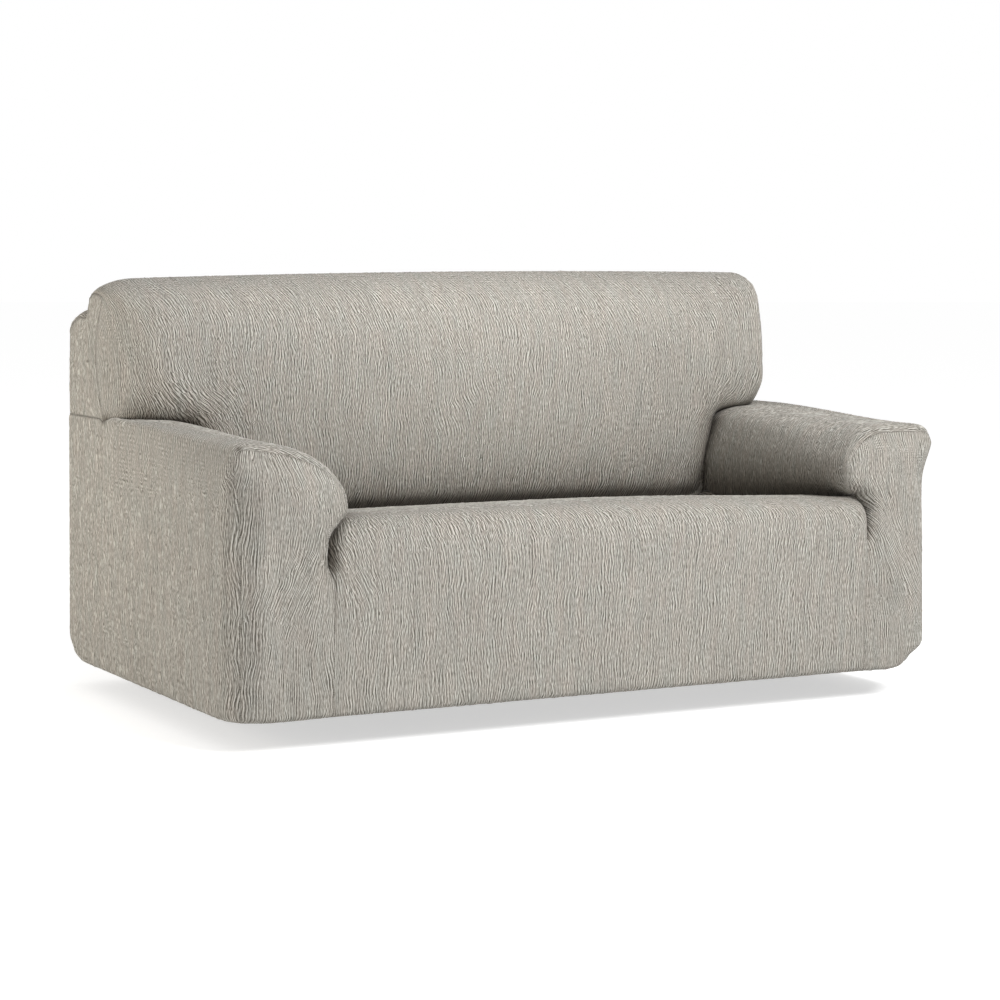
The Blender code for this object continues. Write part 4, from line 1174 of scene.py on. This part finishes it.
def wandering(tree, given, across, along, share, shift):
    """One sideways bend of the pattern. The noise goes half a unit either way."""
    reach = worked_out(tree, "MULTIPLY", given["Wander Reach"], share)
    place = vector_of(
        tree,
        worked_out(tree, "DIVIDE", across, reach),
        worked_out(tree, "DIVIDE", along, reach),
        worked_out(tree, "ADD", given["Seed"], shift),
    )
    size = worked_out(tree, "MULTIPLY", given["Wander"], 2.0 * share)
    return worked_out(tree, "MULTIPLY", noise_around_zero(tree, place, 1.0), size)


def grain_of(tree, given, flat, two_waves):
    """The place in the pattern of each point of the cloth, bent once closely and once slowly."""
    across, along, _ = parts_of(tree, flat)
    close = wandering(tree, given, across, along, *CLOSE_BEND)
    slow = wandering(tree, given, across, along, *SLOW_BEND)
    across = worked_out(tree, "ADD", across, worked_out(tree, "ADD", close, slow))
    return vector_of(
        tree,
        worked_out(tree, "ADD", worked_out(tree, "DIVIDE", across, two_waves), given["Seed"]),
        worked_out(tree, "DIVIDE", along, given["Crinkle Length"]),
        given["Seed"],
    )


# %% The crinkle tree
def stored(tree, name, kind="FLOAT"):
    node = add_node(tree, "GeometryNodeInputNamedAttribute", data_type=kind)
    node.inputs["Name"].default_value = name
    return node.outputs["Attribute"]


def crinkle_height(tree, given, flat, grain, two_waves):
    """How far each point of the cloth moves out."""
    gather, hold, lean, even = (stored(tree, name) for name in ("gather", "hold", "lean", "even"))
    steepness = worked_out(tree, "DIVIDE", given["Crinkle Length"], two_waves)
    steep = worked_out(tree, "MULTIPLY", lean, steepness)
    sizes = given["Wander Reach"], given["Comb Step"], steepness
    leaned, slope = combed(tree, grain, flat, lean, *sizes)
    waves = waves_around_zero(tree, leaned, CRINKLE_ORDER, *turned(tree, lean, slope))
    lift = worked_out(tree, "MULTIPLY_ADD", gather, given["Gather Depth"], 1.0)
    steep_square = worked_out(tree, "MULTIPLY_ADD", steep, steep, 1.0)
    upright = worked_out(tree, "DIVIDE", 1.0, steep_square)
    height = worked_out(tree, "MULTIPLY", worked_out(tree, "MULTIPLY", waves, lift), hold)
    height = worked_out(tree, "MULTIPLY", height, worked_out(tree, "MULTIPLY", upright, even))
    moved_out = worked_out(tree, "MULTIPLY", height, given["Crinkle Depth"])
    return worked_out(tree, "MULTIPLY_ADD", hold, given["Seam Groove"], moved_out)


def crinkle_tree():
    tree, given = geometry_tree("crepe_crinkles", CRINKLE_SIZES, "Cloth")
    two_waves = worked_out(tree, "MULTIPLY", given["Crinkle Width"], WAVES_PER_UNIT)
    flat = stored(tree, "flat", "FLOAT_VECTOR")
    grain = grain_of(tree, given, flat, two_waves)
    out = add_node(tree, "ShaderNodeVectorMath", operation="SCALE")
    tree.links.new(add_node(tree, "GeometryNodeInputNormal").outputs[0], out.inputs[0])
    tree.links.new(crinkle_height(tree, given, flat, grain, two_waves), out.inputs["Scale"])
    shift = add_node(tree, "GeometryNodeSetPosition")
    tree.links.new(given["Geometry"], shift.inputs["Geometry"])
    tree.links.new(out.outputs[0], shift.inputs["Offset"])
    keep = add_node(tree, "GeometryNodeStoreNamedAttribute", data_type="FLOAT_VECTOR")
    keep.domain = "POINT"
    keep.inputs["Name"].default_value = "grain"
    tree.links.new(shift.outputs[0], keep.inputs["Geometry"])
    tree.links.new(grain, keep.inputs["Value"])
    end_tree(tree, keep.outputs[0], given["Cloth"])
    return tree


crepe_crinkles = crinkle_tree()
print("crinkle tree:", len(crepe_crinkles.nodes), "nodes")

# %% [markdown]
# ## The cloth's colour
#
# From a step away the cover is a warm light grey. Close up it is a blend of yarns, with finer
# waves and short specks between. Its crinkles' grooves are darker and their ridges lighter,
# partly by the yarns and partly as painted shade in the grooves and painted light on the ridges.
# Slow upright bands are a little pinker or greener, lighter or darker, as in yarn dyed in lots.
# So one level goes from groove to ridge through a colour ramp, and two slow noises tint the
# result. Painted shade darkens the colour in the creases, along the seams and where the cloth
# is gathered. The surface is matt, and the finest specks are a bump.

# %% Colours and shares of the crepe
# The ramp's groove and ridge colours: partly the yarns' dark and light, partly painted shade in the
# grooves and painted light on the ridges
GROOVE = (0.095, 0.086, 0.071, 1)
GROUND = (0.276, 0.260, 0.230, 1)
RIDGE = (0.520, 0.501, 0.460, 1)
PINKER = (1.020, 0.995, 0.984, 1)
GREENER = (0.984, 1.003, 1.003, 1)
DARKER = (0.92, 0.92, 0.92, 1)
LIGHTER = (1.08, 1.08, 1.08, 1)
# Painted shade: the dark tint that creases and seams are darkened towards, and how strongly
PAINTED_SHADE_TINT = (0.34, 0.31, 0.28, 1)
TUCK_SHADE = 0.86
SEAM_SHADE, GATHERED_SEAM_SHADE = 0.15, 0.45
GATHER_SWELL, GATHER_SHADE = 0.5, -0.07
CRINKLE_SHADING, YARN_TONE, SPECK_TONE = 1.7, 1.8, 1.2
HUE_CONTRAST, TONE_CONTRAST = 3.0, 3.4
YARN_ORDER = 0.80
YARN_SHARE = (0.55, 0.60, 1.0)
SPECK_SIZE = (0.0013, 0.009, 1.0)
HUE_SIZE = (0.022, 0.090, 1.0)
TONE_SIZE = (0.010, 0.140, 1.0)
BUMP_STRENGTH, BUMP_HEIGHT = 0.5, 0.0008
CREPE_FINISH = {
    "Roughness": 0.9,
    "Specular IOR Level": 0.25,
    "Sheen Weight": 0.05,
    "Sheen Roughness": 0.5,
}


def stretched(tree, place, size):
    node = add_node(tree, "ShaderNodeMapping")
    node.inputs["Scale"].default_value = tuple(1 / step for step in size)
    tree.links.new(place, node.inputs["Vector"])
    return node.outputs[0]


def mixed(tree, share, first, second, blend="MIX"):
    node = add_node(tree, "ShaderNodeMix", data_type="RGBA", blend_type=blend)
    for number, value in ((0, share), (6, first), (7, second)):
        feed(tree, node.inputs[number], value)
    return node.outputs[2]


def new_material(name, finish):
    """A material with plain values on its shader, and its tree and shader."""
    material = bpy.data.materials.new(name)
    material.use_nodes = True
    shader = material.node_tree.nodes["Principled BSDF"]
    for socket, value in finish.items():
        shader.inputs[socket].default_value = value
    return material, material.node_tree, shader


# %% The crepe's colour
def shade_and_yarn_colour(tree, level, flat):
    """From groove to ridge, with painted shade and light on the crinkles, then tinted in slow
    bands.
    """
    ramp = add_node(tree, "ShaderNodeValToRGB")
    ramp.color_ramp.elements[0].color = GROOVE
    ramp.color_ramp.elements[1].color = RIDGE
    ramp.color_ramp.elements.new(0.5).color = GROUND
    tree.links.new(level, ramp.inputs[0])
    bands = noise_around_zero(tree, stretched(tree, flat, HUE_SIZE), 2.0)
    hue_share = worked_out(tree, "MULTIPLY_ADD", bands, HUE_CONTRAST, 0.5)
    hue = mixed(tree, hue_share, PINKER, GREENER)
    shades = noise_around_zero(tree, stretched(tree, flat, TONE_SIZE), 3.0)
    tone_share = worked_out(tree, "MULTIPLY_ADD", shades, TONE_CONTRAST, 0.5)
    tone = mixed(tree, tone_share, DARKER, LIGHTER)
    tinted = mixed(tree, 1.0, ramp.outputs[0], hue, "MULTIPLY")
    return mixed(tree, 1.0, tinted, tone, "MULTIPLY")


def shade_and_yarn_level(tree, name, flat, grain, gather, lean, specks):
    """From 0 in a groove to 1 on a ridge: the crinkles' painted shade and light, yarn waves,
    specks.
    """
    sizes = crinkle_sizes(name)
    steepness = sizes["Crinkle Length"] / (WAVES_PER_UNIT * sizes["Crinkle Width"])
    comb = sizes["Wander Reach"], sizes["Comb Step"], steepness
    leaned, slope = combed(tree, grain, flat, lean, *comb)
    turn = turned(tree, lean, slope)
    crinkles = waves_around_zero(tree, leaned, CRINKLE_ORDER, *turn)
    yarns = waves_around_zero(tree, stretched(tree, leaned, YARN_SHARE), YARN_ORDER, *turn)
    # The crinkles' painted shade and light
    level = worked_out(tree, "MULTIPLY", crinkles, CRINKLE_SHADING)
    level = worked_out(tree, "MULTIPLY_ADD", yarns, YARN_TONE, level)
    swell = worked_out(tree, "MULTIPLY_ADD", gather, GATHER_SWELL, 1.0)
    level = worked_out(tree, "MULTIPLY", level, swell)
    level = worked_out(tree, "MULTIPLY_ADD", specks, SPECK_TONE, level)
    # Gathered cloth is moved towards the groove colour: painted shade
    ground = worked_out(tree, "MULTIPLY_ADD", gather, GATHER_SHADE, 0.5)
    return worked_out(tree, "ADD", level, ground)


def painted_seam_and_crease_shade(tree, gather, crease_shade, hold):
    """How much painted shade darkens the colour in a seam's groove or a crease."""
    off_seam = worked_out(tree, "SUBTRACT", 1.0, hold)
    seam = worked_out(tree, "MULTIPLY_ADD", gather, GATHERED_SEAM_SHADE, SEAM_SHADE)
    seam = worked_out(tree, "MULTIPLY", worked_out(tree, "POWER", off_seam, 3.0), seam)
    return worked_out(tree, "MULTIPLY_ADD", crease_shade, TUCK_SHADE, seam)


# %% The crepe material
def crepe(name):
    """The crepe of one panel."""
    material, tree, shader = new_material("crepe_" + name, CREPE_FINISH)
    flat, grain = (
        add_node(tree, "ShaderNodeAttribute", attribute_name=kept).outputs["Vector"]
        for kept in ("flat", "grain")
    )
    gather, lean, crease_shade, hold = (
        add_node(tree, "ShaderNodeAttribute", attribute_name=kept).outputs["Fac"]
        for kept in ("gather", "lean", "crease_shade", "hold")
    )
    specks = noise_around_zero(tree, stretched(tree, flat, SPECK_SIZE), 1.0)
    level = shade_and_yarn_level(tree, name, flat, grain, gather, lean, specks)
    colour = shade_and_yarn_colour(tree, level, flat)
    # Painted shade: the colour is darkened towards a dark tint in the creases and along the seams
    dimmed = mixed(tree, painted_seam_and_crease_shade(tree, gather, crease_shade, hold), colour, PAINTED_SHADE_TINT, "MULTIPLY")
    tree.links.new(dimmed, shader.inputs["Base Color"])
    bump = add_node(tree, "ShaderNodeBump")
    bump.inputs["Strength"].default_value = BUMP_STRENGTH
    bump.inputs["Distance"].default_value = BUMP_HEIGHT
    tree.links.new(specks, bump.inputs["Height"])
    tree.links.new(bump.outputs[0], shader.inputs["Normal"])
    return material


# %% [markdown]
# ## Dress the panels
#
# Every panel takes the same steps: sample its surface, add the folds, measure it, close it as
# a sheet, and let the node tree crinkle it. The result is turned into a plain mesh, which then
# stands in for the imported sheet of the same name. A panel's flat size is what was cut before
# the cloth was stretched over the sofa, so it is a little less than what the sofa shows.

# %% Panels and their surfaces
FINENESS = {"back_rear": 1.35, "arm_front_left": 0.55, "arm_front_right": 0.55}


def every_cell(row, col):
    return np.ones(np.broadcast(row, col).shape, bool)


def arm_cells(row, col):
    return (row < SPLIT_ROW) | (col < BACK_COL)


def back_cells(row, col):
    return (row >= NOTCH_ROW) | ((col >= WING_COLS) & (col < BACK_COLS - WING_COLS))


# Each panel: its surface, its side, its last row and column, which cells of its grid are cloth,
# and whether its rows and columns run so that its faces have to be turned to point outwards
LEFT, MIDDLE, RIGHT = (-1,), (), (1,)
PANELS = {
    "back_front": (back_surface, MIDDLE, BACK_ROWS, BACK_COLS, back_cells, False),
    "back_rear": (rear_surface, MIDDLE, REAR_ROWS, BACK_COLS, every_cell, True),
    "back_side_left": (gusset_surface, LEFT, GUSSET_ROWS, GUSSET_COLS, every_cell, True),
    "back_side_right": (gusset_surface, RIGHT, GUSSET_ROWS, GUSSET_COLS, every_cell, False),
    "seat_front": (seat_surface, MIDDLE, SEAT_ROWS, SEAT_COLS, every_cell, False),
    "arm_left": (arm_surface, LEFT, CREASE_ROW, REAR_COL, arm_cells, True),
    "arm_right": (arm_surface, RIGHT, CREASE_ROW, REAR_COL, arm_cells, False),
    "arm_front_left": (arm_front_surface, LEFT, SPLIT_ROW, WING_COLS, every_cell, False),
    "arm_front_right": (arm_front_surface, RIGHT, SPLIT_ROW, WING_COLS, every_cell, True),
}


# %% Places along a panel's rim
HOLD_REACH = 0.006
RIM_STEP = 0.0015


def lookup(places):
    """Finds the nearest of these places to any other."""
    tree = kdtree.KDTree(len(places))
    for number, place in enumerate(places):
        tree.insert(place, number)
    tree.balance()
    return tree


def seam_hold(points, kept):
    """From 0 on a seam to 1 a little way in from it, for each point of a panel."""
    rim = np.zeros(points.shape[:2], bool)
    for first, second in rim_steps(kept):
        rim[first] = rim[second] = True
    nearest = lookup(points[rim])
    away = np.array([nearest.find(point)[2] for point in points.reshape(-1, 3)])
    return ease(away / HOLD_REACH)


def rim_places(points, facing, outward, kept):
    """Places along the rim, each with the directions into the panel and out of its face."""
    following = dict(rim_steps(kept))
    found = []
    while following:
        spot, loop = next(iter(following)), []
        while spot in following:
            loop.append(spot)
            spot = following.pop(spot)
        rows, cols = np.array([*loop, loop[0]]).T
        steps = np.linalg.norm(np.diff(points[rows, cols], axis=0), axis=1)
        run = np.append(0, np.cumsum(steps))
        at = np.arange(0, run[-1], RIM_STEP)
        place, face, out = (
            np.stack([np.interp(at, run, each[rows, cols, axis]) for axis in range(3)], axis=1)
            for each in (points, facing, outward)
        )
        inward = np.cross(face, np.gradient(place, axis=0))
        inward /= np.maximum(np.linalg.norm(inward, axis=1, keepdims=True), 1e-9)
        found.append(np.stack([place, inward, out], axis=1))
    return np.concatenate(found)


# %% Measure one panel as flat cloth
def flat_places(name, points, across, along, rows, cols):
    """How far across and along the flat cloth each point lies."""
    if name.startswith("arm_front"):
        return points[..., 0] * np.sign(points[0, -1, 0] - points[0, 0, 0]), points[..., 2]
    flat_u, flat_v = np.meshgrid(flat_measure(across, cols), flat_measure(along, rows))
    if name == "back_front":
        flat_u = flat_u + wing_excess(points, flat_u, cols)
    return flat_u, flat_v


def store(mesh, name, values):
    """Keeps a number or a vector for each corner of a mesh."""
    kind, field = ("FLOAT", "value") if values.ndim == 1 else ("FLOAT_VECTOR", "vector")
    layer = mesh.attributes.new(name, kind, "POINT")
    layer.data.foreach_set(field, values.astype(np.float32).ravel())


# %% Put the measures and the mesh together
def with_inner(outer, inner):
    """A measure of the outer grid's points, and then of the ones that the inner grid has."""
    return np.append(outer.ravel(), outer[inner].ravel())


def only_outer(share, corner_count):
    """A share of the outer grid's points, with 0 for the inner ones, which have no crinkles."""
    return np.pad(share.ravel(), (0, corner_count - share.size))


def mesh_of(name, corners, faces):
    """A mesh without the corners that no face uses, and which ones it kept."""
    used = np.unique(np.concatenate([np.asarray(face) for face in faces]))
    new_number = np.full(len(corners), -1)
    new_number[used] = np.arange(len(used))
    mesh = bpy.data.meshes.new(name)
    faces = [new_number[face].tolist() for face in faces]
    mesh.from_pydata((corners[used] - HOLD_PLACE).tolist(), [], faces)
    return mesh, used


# %% Make one panel
rims = []


def dress(name, number):
    """One panel's plain mesh with its attributes, and the size that it has on the sofa."""
    surface, side, last_row, last_col, cell_rule, flip = PANELS[name]
    plain = surface(*side, np.arange(last_row + 1), np.arange(last_col + 1))
    along, across = lengths(plain, 0), lengths(plain, 1)
    fineness = FINENESS.get(name, 1.0)
    rows, row_marks = fine_lines(along, STEP_ALONG * fineness)
    cols, col_marks = fine_lines(across, STEP_ACROSS * fineness)
    points = moved(drawn_in(moved(surface(*side, rows, cols), FOLDS)), CREASES)

    facing = directions(points)
    outward = -facing if flip else facing
    middle_row = np.floor((rows[:-1] + rows[1:]) / 2)[:, None]
    middle_col = np.floor((cols[:-1] + cols[1:]) / 2)[None]
    kept = cell_rule(middle_row, middle_col)
    rims.append(rim_places(points, facing, outward, kept))
    corners, faces = closed_sheet(points, outward, row_marks, col_marks, kept)
    if flip:
        faces = [face[::-1] for face in faces]
    mesh, used = mesh_of(name + "_cloth", corners, faces)

    flat_u, flat_v = flat_places(name, points, across, along, rows, cols)
    inner = np.ix_(row_marks, col_marks)
    seed = np.full(len(corners), SEED_STEP * number)
    flat = np.stack([with_inner(flat_u, inner), with_inner(flat_v, inner), seed], axis=1)
    store(mesh, "flat", flat[used])
    wings = name == "back_front"
    shares = {
        "hold": seam_hold(points, kept),
        "gather": gathered(points),
        "lean": leaning(points),
        # How much painted shade the creases give
        "crease_shade": crease_shade_mask(points),
        "even": evenness(points, flat_u) if wings else np.ones(points.shape[:2]),
    }
    for share_name, share in shares.items():
        store(mesh, share_name, only_outer(share, len(corners))[used])
    mesh.shade_smooth()
    return mesh, (float(across.sum()), float(along.sum()))


triangles = 0
for number, name in enumerate(PANELS):
    mesh, (width, length) = dress(name, number)
    values = {**crinkle_sizes(name, number), "Cloth": crepe(name)}
    piece = made_by(crepe_crinkles, mesh, values)
    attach(piece, "root")
    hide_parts(name)
    count = triangle_count(piece)
    triangles += count
print("all panels:", triangles, "triangles")

# %% [markdown]
# ## The thread in the seams
#
# The panels end a small gap apart, and what holds them together is a row of stitches over the
# seam. Each stitch bites into one panel, crosses the gap and bites into the next, also where
# the two meet at an angle. So its path is four points, found from the rims of both panels, and
# a second node tree gives every path the thread's thickness. Hems meet no other panel, so no
# stitch is made there.

# %% Paths of the stitches
STITCH_EVERY = 3
BITE, BITE_DEPTH = 0.0018, 0.0002
LOOP_HEIGHT, LOOP_PLACE = 0.0007, 0.3
REACH_OVER = 0.0050


def half_stitch(place, inward, outward):
    """Two points of a stitch on one side of the seam: where it bites, and where it lifts."""
    bite = place + BITE * inward - BITE_DEPTH * outward
    return bite, place + LOOP_PLACE * BITE * inward + LOOP_HEIGHT * outward


def nearest_mate(place, number, lookups):
    """How far the nearest rim of another panel is, that panel's number, and where on its rim."""
    found = []
    for other, rim in enumerate(lookups):
        if other != number:
            _, mate, away = rim.find(place)
            found.append((away, other, mate))
    return min(found)


def stitch_paths(rims):
    """Four points for each stitch. Of two panels that meet, the first one makes the stitches."""
    lookups = [lookup(rim[:, 0]) for rim in rims]
    paths = []
    for number, rim in enumerate(rims):
        for spot in rim[::STITCH_EVERY]:
            away, other, mate = nearest_mate(spot[0], number, lookups)
            if number < other and away < REACH_OVER:
                paths += [*half_stitch(*spot), *half_stitch(*rims[other][mate])[::-1]]
    return np.array(paths)


def path_mesh(paths):
    """A mesh of edges alone: three for each stitch."""
    starts = np.arange(0, len(paths), 4)
    edges = [np.stack([starts + step, starts + step + 1], axis=1) for step in range(3)]
    mesh = bpy.data.meshes.new("seam_stitches")
    mesh.from_pydata((paths - HOLD_PLACE).tolist(), np.concatenate(edges).tolist(), [])
    return mesh


paths = stitch_paths(rims)
print("stitches:", len(paths) // 4)

# %% The thread tree
THREAD_SIZES = {"Thread Radius": 0.00035, "Sides": 5}


def thread_tree():
    tree, given = geometry_tree("seam_thread", THREAD_SIZES, "Thread")
    paths = add_node(tree, "GeometryNodeMeshToCurve")
    tree.links.new(given["Geometry"], paths.inputs["Mesh"])
    round_shape = add_node(tree, "GeometryNodeCurvePrimitiveCircle")
    tree.links.new(given["Thread Radius"], round_shape.inputs["Radius"])
    tree.links.new(given["Sides"], round_shape.inputs["Resolution"])
    thick = add_node(tree, "GeometryNodeCurveToMesh")
    tree.links.new(paths.outputs[0], thick.inputs["Curve"])
    tree.links.new(round_shape.outputs[0], thick.inputs["Profile Curve"])
    thick.inputs["Fill Caps"].default_value = True
    end_tree(tree, thick.outputs[0], given["Thread"])
    return tree


# %% The thread's finish
THREAD_DARK = (0.20, 0.188, 0.165, 1)
THREAD_LIGHT = (0.40, 0.380, 0.340, 1)
FIBRE_SIZE = (0.0006, 0.0006, 0.0006)
THREAD_FINISH = {"Roughness": 0.8, "Specular IOR Level": 0.25}


def thread():
    """Spun thread: pale and dark fibres, twisted closely."""
    material, tree, shader = new_material("seam_thread", THREAD_FINISH)
    place = add_node(tree, "ShaderNodeTexCoord").outputs["Object"]
    fibres = noise_around_zero(tree, stretched(tree, place, FIBRE_SIZE), 2.0)
    share = worked_out(tree, "MULTIPLY_ADD", fibres, HUE_CONTRAST, 0.5)
    colour = mixed(tree, share, THREAD_DARK, THREAD_LIGHT)
    tree.links.new(colour, shader.inputs["Base Color"])
    return material


# %% Sew the seams
values = {**THREAD_SIZES, "Thread": thread()}
seam_stitches = made_by(thread_tree(), path_mesh(paths), values)
seam_stitches.data.shade_smooth()
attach(seam_stitches, "root")
print("thread:", triangle_count(seam_stitches), "triangles")

# %% [markdown]
# ## Floor and light
#
# The cover stands over a plain pale floor, which runs on so far that no edge of it shows. The
# floor and the surround look white to the camera but give only part of that light, so that the
# shadow on the floor stays soft and the cover keeps its own shades. A large soft lamp above the
# front lights the tops and the front and leaves the insides of the arms in shade. A small one
# with a narrow spread lifts the backrest, which stands further back, and a weak, warm one lifts
# the left side.

# %% Floor
FLOOR_SIZE = 160
FLOOR_GLOW, FLOOR_GIVES = 0.57, 0.2
WHITE = (1, 1, 1, 1)
PAPER_FINISH = {
    "Base Color": (0.75, 0.75, 0.75, 1),
    "Roughness": 1.0,
    "Specular IOR Level": 0.0,
    "Emission Color": WHITE,
}
floor_mesh = bpy.data.meshes.new("floor")
corners = [(x, y, -HOLD_Z) for x, y in ((-1, -1), (1, -1), (1, 1), (-1, 1))]
corners = [(x * FLOOR_SIZE / 2, y * FLOOR_SIZE / 2, z) for x, y, z in corners]
floor_mesh.from_pydata(corners, [], [(0, 1, 2, 3)])
floor = bpy.data.objects.new("floor", floor_mesh)
bpy.context.scene.collection.objects.link(floor)
paper, tree, shader = new_material("pale_floor", PAPER_FINISH)
seen = add_node(tree, "ShaderNodeLightPath").outputs["Is Camera Ray"]
given_glow = FLOOR_GIVES * FLOOR_GLOW
glow = worked_out(tree, "MULTIPLY_ADD", seen, FLOOR_GLOW - given_glow, given_glow)
feed(tree, shader.inputs["Emission Strength"], glow)
floor_mesh.materials.append(paper)
print("floor:", FLOOR_SIZE, "m wide")

# %% Surround
SURROUND_LIGHT = 0.56
world = bpy.data.worlds.new("white_surround")
world.use_nodes = True
tree = world.node_tree
lighting, white = tree.nodes["Background"], add_node(tree, "ShaderNodeBackground")
lighting.inputs["Color"].default_value = white.inputs["Color"].default_value = WHITE
lighting.inputs["Strength"].default_value = SURROUND_LIGHT
choice = add_node(tree, "ShaderNodeMixShader")
tree.links.new(add_node(tree, "ShaderNodeLightPath").outputs["Is Camera Ray"], choice.inputs[0])
tree.links.new(lighting.outputs[0], choice.inputs[1])
tree.links.new(white.outputs[0], choice.inputs[2])
tree.links.new(choice.outputs[0], tree.nodes["World Output"].inputs["Surface"])
bpy.context.scene.world = world
bpy.context.scene.view_settings.view_transform = "Standard"
print("surround gives", SURROUND_LIGHT, "of the white it shows")

# %% Lamps
BACKREST_SPREAD = 44
WARM_WHITE = (1.0, 0.94, 0.84)


def soft_lamp(name, place, aim, size, power, colour=WHITE[:3]):
    """A round lamp at a place, turned towards another."""
    lamp = bpy.data.lights.new(name, "AREA")
    lamp.shape = "DISK"
    lamp.size = size
    lamp.energy = power
    lamp.color = colour
    thing = bpy.data.objects.new(name, lamp)
    thing.location = place
    way = np.array(aim, float) - np.array(place, float)
    tilt = np.arccos(-way[2] / np.linalg.norm(way))
    thing.rotation_euler = (tilt, 0, np.arctan2(-way[0], way[1]))
    bpy.context.scene.collection.objects.link(thing)
    return lamp


soft_lamp("key_above_front", (1.2, -4.5, 3.0), (0, 0.1, -0.35), 2.2, 272)
backrest_lamp = soft_lamp("backrest", (0.3, -2.4, 1.5), (0, 0.1, -0.25), 0.4, 1.8)
backrest_lamp.spread = np.radians(BACKREST_SPREAD)
soft_lamp("left", (-2.4, 0.1, -0.3), (-0.8, 0.1, -0.3), 0.8, 17, WARM_WHITE)
